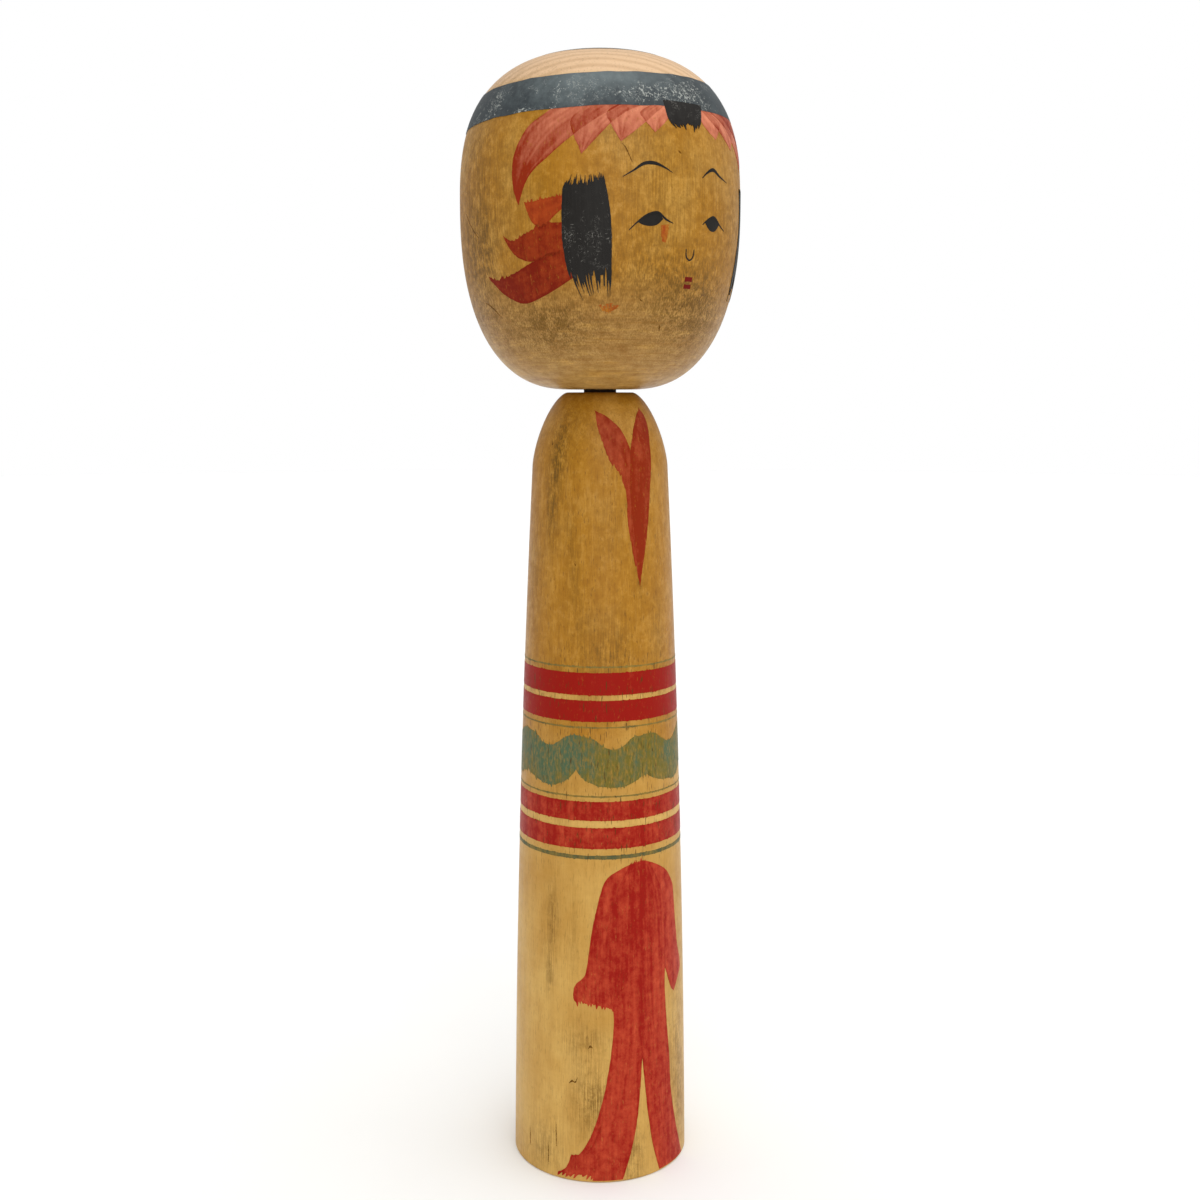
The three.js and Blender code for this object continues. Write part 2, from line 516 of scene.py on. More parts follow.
def film_mesh(name, skin, patches, buried, marks):
    """Closed thin films: a top sheet on the wood, a lower sheet inside it, and walls round the border."""
    points, faces, count = [], [], 0
    values = {"load": [], "scuff": []}
    for patch in patches:
        rows, columns = patch["angle"].shape
        top = skin.place(patch["angle"], patch["along"], patch["lift"])
        under = skin.place(patch["angle"], patch["along"], -buried)
        index = count + np.arange(rows * columns).reshape(rows, columns)
        if patch["closed"]:
            index = np.concatenate([index, index[:, :1]], axis=1)
        lower = index + rows * columns
        quads = [np.stack([index[:-1, :-1], index[:-1, 1:], index[1:, 1:], index[1:, :-1]], axis=2)]
        quads.append(np.stack([lower[:-1, :-1], lower[1:, :-1], lower[1:, 1:], lower[:-1, 1:]], axis=2))
        quads.append(np.stack([index[0, :-1], lower[0, :-1], lower[0, 1:], index[0, 1:]], axis=1))
        quads.append(np.stack([index[-1, :-1], index[-1, 1:], lower[-1, 1:], lower[-1, :-1]], axis=1))
        if not patch["closed"]:
            quads.append(np.stack([index[:-1, 0], index[1:, 0], lower[1:, 0], lower[:-1, 0]], axis=1))
            quads.append(np.stack([index[:-1, -1], lower[:-1, -1], lower[1:, -1], index[1:, -1]], axis=1))
        points += [top.reshape(-1, 3), under.reshape(-1, 3)]
        faces += [quad.reshape(-1, 4) for quad in quads]
        fields = marks(top.reshape(-1, 3))
        fields["load"] = patch["load"].ravel()
        fields["scuff"] = (patch.get("scuff", 0.0) + 0.0 * patch["load"]).ravel()
        for key, value in fields.items():
            values.setdefault(key, []).extend([value, value])
        count += 2 * rows * columns
    values = {key: np.concatenate(value) for key, value in values.items()}
    return finished_mesh(name, np.concatenate(points), np.concatenate(faces), values)


# ---------------------------------------------------------------- age and handling


def soft_spot(angle, height, centre, size):
    """A soft round mark: exp(-(d_angle/width)^2 - (d_height/tall)^2), in degrees and millimetres."""
    turn = (np.degrees(angle) - centre[0] + 180.0) % 360.0 - 180.0
    return np.exp(-((turn / size[0]) ** 2) - ((height * PER_MM - centre[1]) / size[1]) ** 2)


def spotted(angle, height, spots):
    """The soft spots of a table added up: each a centre, a size and a depth."""
    return sum(depth * soft_spot(angle, height, centre, size) for centre, size, depth in spots)


def ramp(value, low, high):
    """0 below low, 1 above high, and the smooth step 3t^2 - 2t^3 between."""
    t = np.clip((value - low) / (high - low), 0.0, 1.0)
    return t * t * (3.0 - 2.0 * t)


def body_marks(points):
    """The body's wood at each point: ochre above the bands and paler below, stained where it was held.

    tone is 1 for ochre and 0 for pale, stain is 1 for the darkest stain, blotch says how far the wood is
    clouded, grain how strongly its long fibres show, lathe how strongly the turning lines show, and
    cracked how many fine drying cracks there are.
    """
    angle = np.arctan2(points[:, 0], -points[:, 1])
    height = points[:, 2]
    up = height * PER_MM
    tone = 0.18 + 0.22 * ramp(up, 20.0, 92.0) + 0.60 * ramp(up, 96.0, 136.0)
    between = soft_gap(up, 100.4, 1.1) * 0.4 + soft_gap(up, 134.4, 0.9) * 0.8
    stain = spotted(angle, height, BODY_STAINS)
    fields = {"tone": tone - between, "stain": np.clip(stain, 0.0, 1.0)}
    fields["blotch"] = 0.16 + 0.6 * ramp(up, 90.0, 150.0)
    fields["grain"] = 0.34 + 0.36 * ramp(up, 90.0, 150.0)
    fields["lathe"] = np.full(len(points), 0.10)
    fields["cracked"] = 0.25 + 0.75 * ramp(up, 86.0, 96.0) * ramp(-up, -152.0, -140.0)
    return fields


def head_marks(points):
    """The head's wood at each point: clouded ochre; bare end grain on the crown, its pale colour partly
    painted top light and sheen; dull and lined below, the grey partly painted reflection of the floor, with a
    darker belt round the jaw that is partly painted shade.
    """
    angle = np.arctan2(points[:, 0], -points[:, 1])
    height = points[:, 2] - HEAD_LOW.z
    up = height * PER_MM
    crown = ramp(up, 71.0, 77.0)
    # the ochre fades to the pale wood towards the chin, partly as painted reflection of the floor under the
    # head
    tone = (0.94 - 0.36 * ramp(-up, -18.0, -2.0)) * (1.0 - crown) - crown
    stain = spotted(angle, height, HEAD_STAINS_AND_SHADE)
    # a darker belt all round the jaw, deepest 17 mm above the chin, is partly painted shade where the head
    # turns under
    stain = stain + (0.16 + 0.16 * np.exp(-(((up - 17.0) / 9.0) ** 2))) * (1.0 - crown)
    fields = {"tone": tone, "stain": np.clip(stain, 0.0, 1.0)}
    fields["blotch"] = (1.0 - crown) * (0.95 - 0.45 * ramp(-up, -22.0, -8.0))
    fields["grain"] = 0.3 + 0.3 * crown
    # the turning lines and the greyer wood grow towards the chin; the grey is partly painted reflection of
    # the floor
    fields["lathe"] = 0.12 + 0.88 * ramp(-up, -34.0, -14.0)
    fields["cracked"] = 0.2 * (1.0 - crown)
    return fields


def soft_gap(up, middle, half):
    """1 on a narrow belt round a height, falling to 0 past its half width."""
    return np.clip(1.5 - np.abs(up - middle) / half, 0.0, 1.0)


# Old stains: (degrees from the front, millimetres up), (width in degrees, height in millimetres), depth.
BODY_STAINS = (
    ((-68, 197), (9, 8), 0.95),
    ((-72, 184), (7, 9), 0.7),
    ((-55, 178), (5, 6), 0.3),
    ((-92, 166), (10, 18), 0.35),
    ((-60, 206), (24, 6), 0.3),
    ((-50, 168), (5, 8), 0.4),
    ((2, 170), (5, 12), 0.35),
    ((-30, 146), (20, 5), 0.35),
    ((-42, 134), (8, 5), 0.3),
    ((-35, 23), (12, 9), 0.7),
    ((-40, 40), (14, 5), 0.45),
    ((-64, 73), (5, 10), 0.55),
    ((-66, 58), (3, 6), 0.5),
    ((-48, 68), (3, 12), 0.25),
    ((-70, 8), (12, 7), 0.45),
    ((-8, 6), (8, 10), 0.6),
    ((36, 25), (15, 32), 0.6),
    ((-24, 178), (12, 9), 0.25),
    ((-46, 156), (10, 7), 0.25),
    ((-20, 150), (16, 9), 0.3),
    ((20, 150), (9, 14), 0.3),
    ((-60, 110), (6, 14), 0.25),
    ((120, 60), (20, 30), 0.4),
    ((170, 150), (25, 30), 0.45),
    ((80, 190), (16, 14), 0.4),
)
HEAD_STAINS_AND_SHADE = (
    ((-88, 55), (14, 20), 0.35),
    ((-95, 30), (18, 16), 0.5),
    ((-60, 50), (10, 10), 0.2),
    ((-62, 14), (30, 7), 0.35),
    ((0, 27), (26, 9), 0.35),
    # this spot low on the jaw is partly stain and partly painted shade where the head turns under
    ((16, 21), (18, 8), 0.6),
    ((-84, 36), (12, 10), 0.4),
    ((-50, 17), (14, 5), 0.35),
    ((-20, 60), (18, 6), 0.15),
    ((-44, 56), (12, 5), -0.35),
    ((-4, 48), (20, 8), 0.22),
    ((-14, 34), (14, 8), 0.14),
    ((22, 13), (20, 8), 0.25),
    ((-75, 76), (26, 5), 0.2),
    ((35, 40), (14, 12), 0.3),
    ((95, 45), (22, 20), 0.4),
    ((180, 40), (40, 26), 0.5),
)


def mark_wood(mesh, marks):
    """Stores the tone and stain of each point of the wood for its material to read."""
    points = np.empty(len(mesh.vertices) * 3)
    mesh.vertices.foreach_get("co", points)
    for key, value in marks(points.reshape(-1, 3)).items():
        layer = mesh.attributes.new(key, "FLOAT", "POINT")
        layer.data.foreach_set("value", value.astype(np.float32))


# ---------------------------------------------------------------- materials

MIX, MATH, RANGE = "ShaderNodeMix", "ShaderNodeMath", "ShaderNodeMapRange"
NOISE, WAVE, MAPPING = "ShaderNodeTexNoise", "ShaderNodeTexWave", "ShaderNodeMapping"
PLACE, ATTRIBUTE, GROUP = "ShaderNodeTexCoord", "ShaderNodeAttribute", "ShaderNodeGroup"
COLOURS_MIXED = {"data_type": "RGBA", "clamp_factor": True}
ADD, SUBTRACT, MULTIPLY, MAXIMUM, ABSOLUTE = (
    {"operation": word} for word in ("ADD", "SUBTRACT", "MULTIPLY", "MAXIMUM", "ABSOLUTE")
)
# where a node's listed inputs go if not to its first sockets (factor, colour, colour), and its useful output
INPUTS_OF = {MIX: (0, 6, 7)}
OUTPUT_OF = {MIX: 2, PLACE: "Object", ATTRIBUTE: "Fac", NOISE: "Fac", WAVE: "Fac"}
WAX_IOR = 1.47
WOOD_MIRROR, DYE_MIRROR, PAPER_MIRROR = 0.2, 0.08, 0.2  # specular levels: how much of the room each mirrors


def add_node(tree, kind, settings, inputs):
    """Adds one node with its settings; an input, by name or number, takes a value or an output to link."""
    node = tree.nodes.new(kind)
    for key, value in settings.items():
        setattr(node, key, value)
    for key, value in inputs.items():
        if isinstance(value, bpy.types.NodeSocket):
            tree.links.new(value, node.inputs[key])
        else:
            node.inputs[key].default_value = value
    return node


def laid_out(tree, value, recipe):
    """Adds a recipe's nodes in order and keeps each one's output in value, under its name.

    A row is a name, a kind, settings and inputs. The inputs are named, or listed in the order of the
    sockets, and one given as a word takes the output that is kept under that word.
    """
    for name, kind, settings, inputs in recipe:
        if not isinstance(inputs, dict):
            inputs = dict(zip(INPUTS_OF.get(kind, range(len(inputs))), inputs))
        inputs = {key: value[one] if isinstance(one, str) else one for key, one in inputs.items()}
        value[name] = add_node(tree, kind, settings, inputs).outputs[OUTPUT_OF.get(kind, 0)]
    return value


def rgba(colour):
    return (*colour, 1.0)


# Each pattern of the wood: how often it repeats in a millimetre across and along the grain, its detail and
# its roughness.
PATTERNS = {
    "streak": ((0.6, 0.6, 0.02), 6.0, 0.66),  # streaks about 1.5 mm wide and 50 mm long
    "hair": ((4.0, 4.0, 0.10), 2.0, 0.5),  # fibres 0.25 mm wide and 10 mm long
    "cloud": ((0.42, 0.42, 0.40), 9.0, 0.76),  # clouds 2.4 mm across
    "long": ((0.55, 0.55, 0.11), 9.0, 0.76),  # clouds 1.8 mm wide and 9 mm tall
    "sweep": ((0.13, 0.13, 0.7), 8.0, 0.74),  # clouds drawn out round the piece, 8 mm by 1.5 mm
    "check": ((2.6, 2.6, 0.30), 1.0, 0.5),  # fine dark drying cracks, 0.4 mm wide and 3 mm long
    "drift": ((0.05, 0.05, 0.04), 4.0, 0.6),  # slow changes over 20 mm
    "pore": ((2.4, 2.4, 0.5), 2.0, 0.6),  # dashes 0.4 mm wide and 2 mm long
    "speck": ((1.6, 1.6, 0.9), 4.0, 0.66),  # specks of dirt about half a millimetre across
    "line": ((0.05, 0.05, 1.5), 5.0, 0.7),  # turning lines 0.7 mm apart
}
PITH = {"Location": (-30.0, -52.0, 0.0), "Scale": (1.0, 1.0, 0.25)}  # the tree's middle lies off the axis
RINGS = {"wave_type": "RINGS", "rings_direction": "Z", "wave_profile": "SIN"}
# growth rings 2.4 mm apart: a wave of scale s has a ring every 0.31 / s
RING_WAVE = {"Scale": 0.13, "Distortion": 4.0, "Detail": 3.0, "Detail Scale": 0.4}
# each share: which pattern or mark, the range it is read over, and what it becomes
SHARES = {
    # the crown's coat is partly painted top light and sheen as well as bare end grain
    "bare": ("tone", 0.0, -1.0, 0.0, 1.0),  # tone below zero is the crown's bare end grain
    "uneven": ("drift", 0.3, 0.7, -0.35, 0.35),
    "clouded": ("cloud", 0.47, 0.68, 0.0, 0.42),
    "bright": ("cloud", 0.49, 0.34, 0.0, 0.5),
    "long_dark": ("long", 0.48, 0.66, 0.0, 0.55),
    "long_light": ("long", 0.48, 0.34, 0.0, 0.55),
    "streaked": ("streak", 0.50, 0.76, 0.0, 0.55),
    "streak_patches": ("drift", 0.38, 0.62, 0.15, 1.0),
    "swept": ("sweep", 0.48, 0.68, 0.0, 0.55),
    "swept_light": ("sweep", 0.50, 0.32, 0.0, 0.75),
    # grey under the head, partly painted reflection of the floor
    "dulled_and_floor_sheen": ("lathe", 0.3, 1.0, 0.0, 0.55),
    "checks": ("check", 0.66, 0.71, 0.0, 0.85),
    "fibred": ("hair", 0.40, 0.72, 0.0, 0.42),
    "ringed": ("ring", 0.30, 1.0, 0.0, 0.22),
    "lined": ("line", 0.46, 0.72, 0.0, 0.55),
    "pored": ("pore", 0.61, 0.70, 0.0, 0.7),
    "speckled": ("speck", 0.57, 0.66, 0.0, 0.7),
    "dirty": ("rough_cloud", 0.85, 1.14, 0.1, 1.15),
    "ring_show": ("tone", -1.0, 0.0, 1.0, 0.25),
    "covered": ("tone", -1.0, 0.0, 0.25, 1.0),
}
# each sum, product or greater one of two of the values above or of earlier rows
SUMS = (
    ("tone_here", ADD, "tone", "uneven"),
    ("clouds_here", MULTIPLY, "clouded", "blotch"),
    ("bright_clouds", MULTIPLY, "bright", "blotch"),
    ("bright_long", MULTIPLY, "long_light", "grain"),
    ("bright_turned", MULTIPLY, "swept_light", "lathe"),
    ("bright_soft", MAXIMUM, "bright_clouds", "bright_long"),
    ("bright_all", MAXIMUM, "bright_soft", "bright_turned"),
    ("bright_here", MULTIPLY, "bright_all", "covered"),
    ("streaks_plain", MULTIPLY, "streaked", "grain"),
    ("streaks_bare", MULTIPLY, "streaks_plain", "covered"),
    ("streaks_here", MULTIPLY, "streaks_bare", "streak_patches"),
    ("turned_here", MAXIMUM, "lined", "swept"),
    ("lines_here", MULTIPLY, "turned_here", "lathe"),
    ("dark_figure", ADD, "clouds_here", "streaks_here"),
    ("fibres_plain", MULTIPLY, "fibred", "grain"),
    ("fibres_here", MULTIPLY, "fibres_plain", "covered"),
    ("long_plain", MULTIPLY, "long_dark", "grain"),
    ("long_here", MULTIPLY, "long_plain", "covered"),
    ("grain_here", MAXIMUM, "fibres_here", "long_here"),
    ("dark_grain", ADD, "dark_figure", "grain_here"),
    ("dark_lines", ADD, "dark_grain", "lines_here"),
    ("rings_here", MULTIPLY, "ringed", "ring_show"),
    ("dark_here", ADD, "dark_lines", "rings_here"),
    ("stain_here", MULTIPLY, "dirty", "stain"),
    ("specks_here", MULTIPLY, "speckled", "stain"),
    ("pores_here", MULTIPLY, "pored", "grain"),
    ("dirt_here", MAXIMUM, "pores_here", "specks_here"),
    ("checks_here", MULTIPLY, "checks", "cracked"),
    ("pits_here", MAXIMUM, "dirt_here", "checks_here"),
    ("pits_low", MULTIPLY, "pits_here", -1.5),
    ("relief", ADD, "hair", "pits_low"),
    ("height", ADD, "relief", "lines_here"),
)
# each coat of colour laid over the last, on the pale wood: how much of it, and which colour
COATS = (
    ("tone_here", "wood_ochre"),
    # the grey under the head is partly painted reflection of the floor
    ("dulled_and_floor_sheen", "wood_dull_and_floor_sheen"),
    # the crown's colour is partly painted top light and sheen
    ("bare", "wood_crown_and_top_light"),
    ("bright_here", "wood_light"),
    ("dark_here", "wood_grain"),
    ("stain_here", "wood_stain"),
    ("pits_here", "wood_pore"),
)
# what the wood gives to the finishes over it: the name of the output, its kind and where it comes from
WOOD_OUTPUTS = {
    "Colour": ("Color", "coat"),
    "Streak": ("Float", "streak"),
    "Cloud": ("Float", "cloud"),
    "Checks": ("Float", "checks_here"),
    "Height": ("Float", "height"),
}


def dogwood_group(colours):
    """Turned dogwood, waxed and darkened by age: close grain with fine long streaks, faint growth rings
    round a pith off the centre, clouded figure, short dark pores, turning lines and old stains. Gives
    the wood's colour, the fine streak, clouds and drying cracks, for dyes to break up over, and a height."""
    tree = bpy.data.node_groups.new("turned_dogwood", "ShaderNodeTree")
    for name, (kind, _) in WOOD_OUTPUTS.items():
        tree.interface.new_socket(name=name, in_out="OUTPUT", socket_type="NodeSocket" + kind)
    recipe = [
        ("place", PLACE, {}, {}),
        ("in_mm", MAPPING, {}, {"Vector": "place", "Scale": (PER_MM, PER_MM, PER_MM)}),
        ("pith", MAPPING, {}, {"Vector": "in_mm", **PITH}),
        ("ring", WAVE, RINGS, {"Vector": "pith", **RING_WAVE}),
    ]
    for name, (scale, detail, rough) in PATTERNS.items():
        noise = {"Vector": "way", "Scale": 1.0, "Detail": detail, "Roughness": rough}
        recipe += [("way", MAPPING, {}, {"Vector": "in_mm", "Scale": scale}), (name, NOISE, {}, noise)]
    for name in ("tone", "stain", "blotch", "grain", "lathe", "cracked"):
        recipe.append((name, ATTRIBUTE, {"attribute_name": name}, {}))
    recipe.append(("rough_cloud", MATH, ADD, ("cloud", "hair")))
    recipe += [(name, RANGE, {}, share) for name, share in SHARES.items()]
    recipe += [(name, MATH, operation, pair) for name, operation, *pair in SUMS]
    under = rgba(colours.wood_pale)
    for name, colour in COATS:
        recipe.append(("coat", MIX, COLOURS_MIXED, (name, under, rgba(getattr(colours, colour)))))
        under = "coat"
    value = laid_out(tree, {}, recipe)
    outputs = {name: value[source] for name, (_, source) in WOOD_OUTPUTS.items()}
    add_node(tree, "NodeGroupOutput", {}, outputs)
    return tree


def started_material(name, colours=None):
    """A node material with its surface shader joined to the output, and over wood the wood's outputs."""
    material = bpy.data.materials.new(name)
    material.use_nodes = True
    tree = material.node_tree
    tree.nodes.clear()
    shader = add_node(tree, "ShaderNodeBsdfPrincipled", {}, {})
    add_node(tree, "ShaderNodeOutputMaterial", {}, {"Surface": shader.outputs[0]})
    wood = {}
    if colours:
        group = bpy.data.node_groups.get("turned_dogwood") or dogwood_group(colours)
        wood = {output.name: output for output in add_node(tree, GROUP, {"node_tree": group}, {}).outputs}
    return material, tree, shader, wood


def relieved(tree, shader, height, strength, depth):
    """Gives the surface its faint relief: the height, strength and depth in metres of its bumps."""
    bump = add_node(tree, "ShaderNodeBump", {}, {"Strength": strength, "Distance": depth, "Height": height})
    tree.links.new(bump.outputs[0], shader.inputs["Normal"])


def waxed_surface(tree, shader, value, smooth, rough, mirror=WOOD_MIRROR):
    """The finish all painted and bare wood shares: old wax, worn thin along the grain."""
    shader.inputs["IOR"].default_value = WAX_IOR
    shader.inputs["Specular IOR Level"].default_value = mirror
    laid_out(tree, value, [("worn_wax", RANGE, {}, ("Cloud", 0.35, 0.65, smooth, rough))])
    tree.links.new(value["worn_wax"], shader.inputs["Roughness"])
    tree.links.new(value["Colour"], shader.inputs["Base Color"])
    relieved(tree, shader, value["Height"], 0.35, 0.05 * MM)


def waxed_dogwood(name, colours):
    """Turned dogwood under old wax: a satin sheen, soft reflections and the faintest grain relief."""
    material, tree, shader, value = started_material(name, colours)
    waxed_surface(tree, shader, value, 0.32, 0.48)
    return material


def dye_on_wood(name, colours, thin, deep, worn=0.5, patchy=0.35, rubbed=0.0):
    """Dye brushed into bare wood and waxed over: the grain shows through as light and dark streaks, the
    colour deepens with each coat, small flecks have worn back to the wood and drying cracks cut through.

    worn is how bare the flecks are, patchy how far the grain changes the dye, and rubbed how many more
    flecks there are than on a sound stroke."""
    material, tree, shader, value = started_material(name, colours)
    # flecks about 0.4 mm across, drawn out along the grain
    fleck_scale = (2.0 * PER_MM, 2.0 * PER_MM, 0.6 * PER_MM)
    recipe = (
        ("place", PLACE, {}, {}),
        ("load", ATTRIBUTE, {"attribute_name": "load"}, {}),
        ("soaked_streak", RANGE, {}, ("Streak", 0.3, 0.7, -patchy, patchy)),
        ("soaked_cloud", RANGE, {}, ("Cloud", 0.35, 0.65, -patchy, patchy)),
        ("streaky", MATH, ADD, ("load", "soaked_streak")),
        ("depth", MATH, ADD, ("streaky", "soaked_cloud")),
        ("dye", MIX, COLOURS_MIXED, ("depth", rgba(thin), rgba(deep))),
        ("way", MAPPING, {}, {"Vector": "place", "Scale": fleck_scale}),
        ("fine", NOISE, {}, {"Vector": "way", "Scale": 1.0, "Detail": 4.0, "Roughness": 0.7}),
        ("flecks", RANGE, {}, ("fine", 0.60 - rubbed, 0.69, 0.0, worn)),
        ("worn_dye", MIX, COLOURS_MIXED, ("flecks", "dye", "Colour")),
        ("Colour", MIX, COLOURS_MIXED, ("Checks", "worn_dye", rgba(colours.wood_pore))),
    )
    waxed_surface(tree, shader, laid_out(tree, value, recipe), 0.34, 0.50, mirror=DYE_MIRROR)
    return material


def rubbed_ink(name, colours, deep, thin, rub):
    """Carbon ink that sits on the wood: nearly black, greyed where it has thinned, with crisp pale flakes
    where it has been rubbed. The scuff field of each stroke says where the flakes crowd together."""
    material, tree, shader, value = started_material(name, colours)
    # flakes about half a millimetre across, and thin curls where the noise passes through its middle
    recipe = (
        ("place", PLACE, {}, {}),
        ("in_mm", MAPPING, {}, {"Vector": "place", "Scale": (PER_MM, PER_MM, PER_MM)}),
        ("scuff", ATTRIBUTE, {"attribute_name": "scuff"}, {}),
        ("load", ATTRIBUTE, {"attribute_name": "load"}, {}),
        ("cloudy", RANGE, {}, ("Cloud", 0.36, 0.66, 0.8, 1.2)),
        ("thinned", MATH, SUBTRACT, ("cloudy", "load")),
        ("ink", MIX, COLOURS_MIXED, ("thinned", rgba(deep), rgba(thin))),
        ("flake", NOISE, {}, {"Vector": "in_mm", "Scale": 1.5, "Detail": 5.0, "Distortion": 0.8}),
        ("curl", NOISE, {}, {"Vector": "in_mm", "Scale": 0.55, "Detail": 2.0, "Distortion": 2.4}),
        ("area", NOISE, {}, {"Vector": "in_mm", "Scale": 0.35, "Detail": 3.0, "Distortion": 0.0}),
        ("crowd", RANGE, {}, ("scuff", 0.0, 1.0, -0.14, 0.07)),
        ("flakes_crowd", MATH, ADD, ("flake", "crowd")),
        ("flakes", RANGE, {}, ("flakes_crowd", 0.615, 0.66, 0.0, 0.7)),
        ("off_middle", MATH, SUBTRACT, ("curl", 0.5)),
        ("from_middle", MATH, ABSOLUTE, ("off_middle",)),
        ("curls", RANGE, {}, ("from_middle", 0.004, 0.018, 0.75, 0.0)),
        ("areas_crowd", MATH, ADD, ("area", "crowd")),
        ("areas", RANGE, {}, ("areas_crowd", 0.46, 0.56, 0.0, 1.0)),
        ("curls_here", MATH, MULTIPLY, ("curls", "areas")),
        ("rubs", MATH, MAXIMUM, ("flakes", "curls_here")),
        ("Colour", MIX, COLOURS_MIXED, ("rubs", "ink", rgba(rub))),
    )
    waxed_surface(tree, shader, laid_out(tree, value, recipe), 0.40, 0.55)
    return material


def plain_dowel(name, colours):
    """A split and rounded dowel, coloured near black as painted shadow for the shaded gap at the neck: coarse
    long fibres, no wax, so no shine.
    """
    material, tree, shader, value = started_material(name)
    # fibres 0.45 mm wide and 17 mm long
    fibre_scale = (2.2 * PER_MM, 2.2 * PER_MM, 0.06 * PER_MM)
    recipe = (
        ("place", PLACE, {}, {}),
        ("way", MAPPING, {}, {"Vector": "place", "Scale": fibre_scale}),
        ("fibre", NOISE, {}, {"Vector": "way", "Scale": 1.0, "Detail": 4.0, "Roughness": 0.6}),
        ("dark", RANGE, {}, ("fibre", 0.3, 0.7, 0.0, 0.6)),
        # painted shadow: the dowel is coloured near black for the shaded gap at the neck
        ("colour", MIX, COLOURS_MIXED, ("dark", rgba(colours.peg_wood), rgba(colours.peg_painted_shadow_fibres))),
    )
    laid_out(tree, value, recipe)
    tree.links.new(value["colour"], shader.inputs["Base Color"])
    shader.inputs["Roughness"].default_value = 0.8
    relieved(tree, shader, value["fibre"], 0.5, 0.08 * MM)
    return material


def floor_paper(name, stage):
    """Matte white studio paper: even, with the faintest mottling and no shine."""
    material, tree, shader, value = started_material(name)
    recipe = (
        ("place", PLACE, {}, {}),
        ("mottle", NOISE, {}, {"Vector": "place", "Scale": 40.0, "Detail": 3.0}),  # clouds 25 mm across
        ("faint", RANGE, {}, ("mottle", 0.3, 0.7, 0.0, 0.05)),
        ("colour", MIX, COLOURS_MIXED, ("faint", rgba(stage.floor_colour), rgba(stage.floor_shade))),
    )
    laid_out(tree, value, recipe)
    tree.links.new(value["colour"], shader.inputs["Base Color"])
    shader.inputs["Roughness"].default_value = 0.9
    shader.inputs["Specular IOR Level"].default_value = PAPER_MIRROR
    return material


# ---------------------------------------------------------------- pieces


def place_piece(name, mesh, material, body, replaces=None):
    """Links a finished mesh as a named piece, gives it its material and joins it to its moving body."""
    piece = bpy.data.objects.new(name, mesh)
    bpy.context.scene.collection.objects.link(piece)
    mesh.materials.append(material)
    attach(piece, body)
    if replaces:
        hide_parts(replaces)
    return piece


def at_hand(context, body):
    """What a painted step works with: the colours, the paint, and the skin of the head or the body."""
    side = {"head": head_side, "body": body_side}[body]
    return context.scene.doll_colours, context.scene.doll_paint, Skin(side(context.scene.doll_turning))


def painted(context, name, body, skin, patches, material):
    """Makes a named film of the patches and lays it on the wood of the head or the body."""
    marks = {"head": head_marks, "body": body_marks}[body]
    mesh = film_mesh(name, skin, patches, context.scene.doll_paint.buried, marks)
    return place_piece(name, mesh, material, body)


class DOLL_OT_body(bpy.types.Operator):
    """Turns the tapered body with its socket"""

    bl_idname = "doll.body"
    bl_label = "Body"

    def execute(self, context):
        turning = context.scene.doll_turning
        side = body_side(turning)
        foot = straight((0.0, 0.0), (turning.base_radius - turning.base_edge, 0.0), 22)
        corner = straight((turning.base_radius - turning.base_edge, 0.0), tuple(side[0]), 1)
        socket = socket_side(turning, BODY_HIGH.z, PEG_LOW.z, -1.0)
        flat = straight(tuple(side[-1]), tuple(socket[0]), 5)[1:]
        outline = np.concatenate([foot, corner, side, flat, socket])
        mesh = turned_mesh("body_wood", outline, turning.columns)
        mark_wood(mesh, body_marks)
        material = waxed_dogwood("waxed turned dogwood body", context.scene.doll_colours)
        place_piece("body_wood", mesh, material, "body", "body")
        return {"FINISHED"}


class DOLL_OT_head(bpy.types.Operator):
    """Turns the head with its socket"""

    bl_idname = "doll.head"
    bl_label = "Head"

    def execute(self, context):
        turning = context.scene.doll_turning
        side = head_side(turning)
        socket = socket_side(turning, HEAD_LOW.z, PEG_HIGH.z, 1.0)[::-1]
        flat = straight(tuple(socket[-1]), tuple(side[0]), 5)[1:]
        outline = np.concatenate([socket, flat, side])
        mesh = turned_mesh("head_wood", outline, turning.columns)
        mark_wood(mesh, head_marks)
        material = waxed_dogwood("waxed turned dogwood head", context.scene.doll_colours)
        place_piece("head_wood", mesh, material, "head", "head")
        return {"FINISHED"}


class DOLL_OT_peg(bpy.types.Operator):
    """Rounds the dowel that joins head and body"""

    bl_idname = "doll.peg"
    bl_label = "Neck peg"

    def execute(self, context):
        turning = context.scene.doll_turning
        low, high, radius, bevel = PEG_LOW.z, PEG_HIGH.z, turning.peg_radius, turning.peg_chamfer
        outline = np.concatenate(
            [
                straight((0.0, low), (radius - bevel, low), 4),
                straight((radius - bevel, low), (radius, low + bevel), 3),
                straight((radius, low + bevel), (radius, high - bevel), 48),
                straight((radius, high - bevel), (radius - bevel, high), 3),
                straight((radius - bevel, high), (0.0, high), 4),
                [(0.0, high)],
            ]
        )
        mesh = turned_mesh("neck_peg", outline, 96)
        # the dowel's dark colour is painted shadow
        material = plain_dowel("dowel in painted shadow", context.scene.doll_colours)
        place_piece("neck_dowel", mesh, material, "head", "neck_peg")
        return {"FINISHED"}


def raised(strokes):
    """A stroke's edges with heights measured from the chin lifted to heights above the floor."""
    up = HEAD_LOW.z * PER_MM
    return [[[(a, h + up) for a, h in edge] for edge in stroke] for stroke in strokes]


def mirrored(strokes):
    """The same strokes on the other side of the face."""
    return [[[(-a, h) for a, h in edge] for edge in stroke] for stroke in strokes]


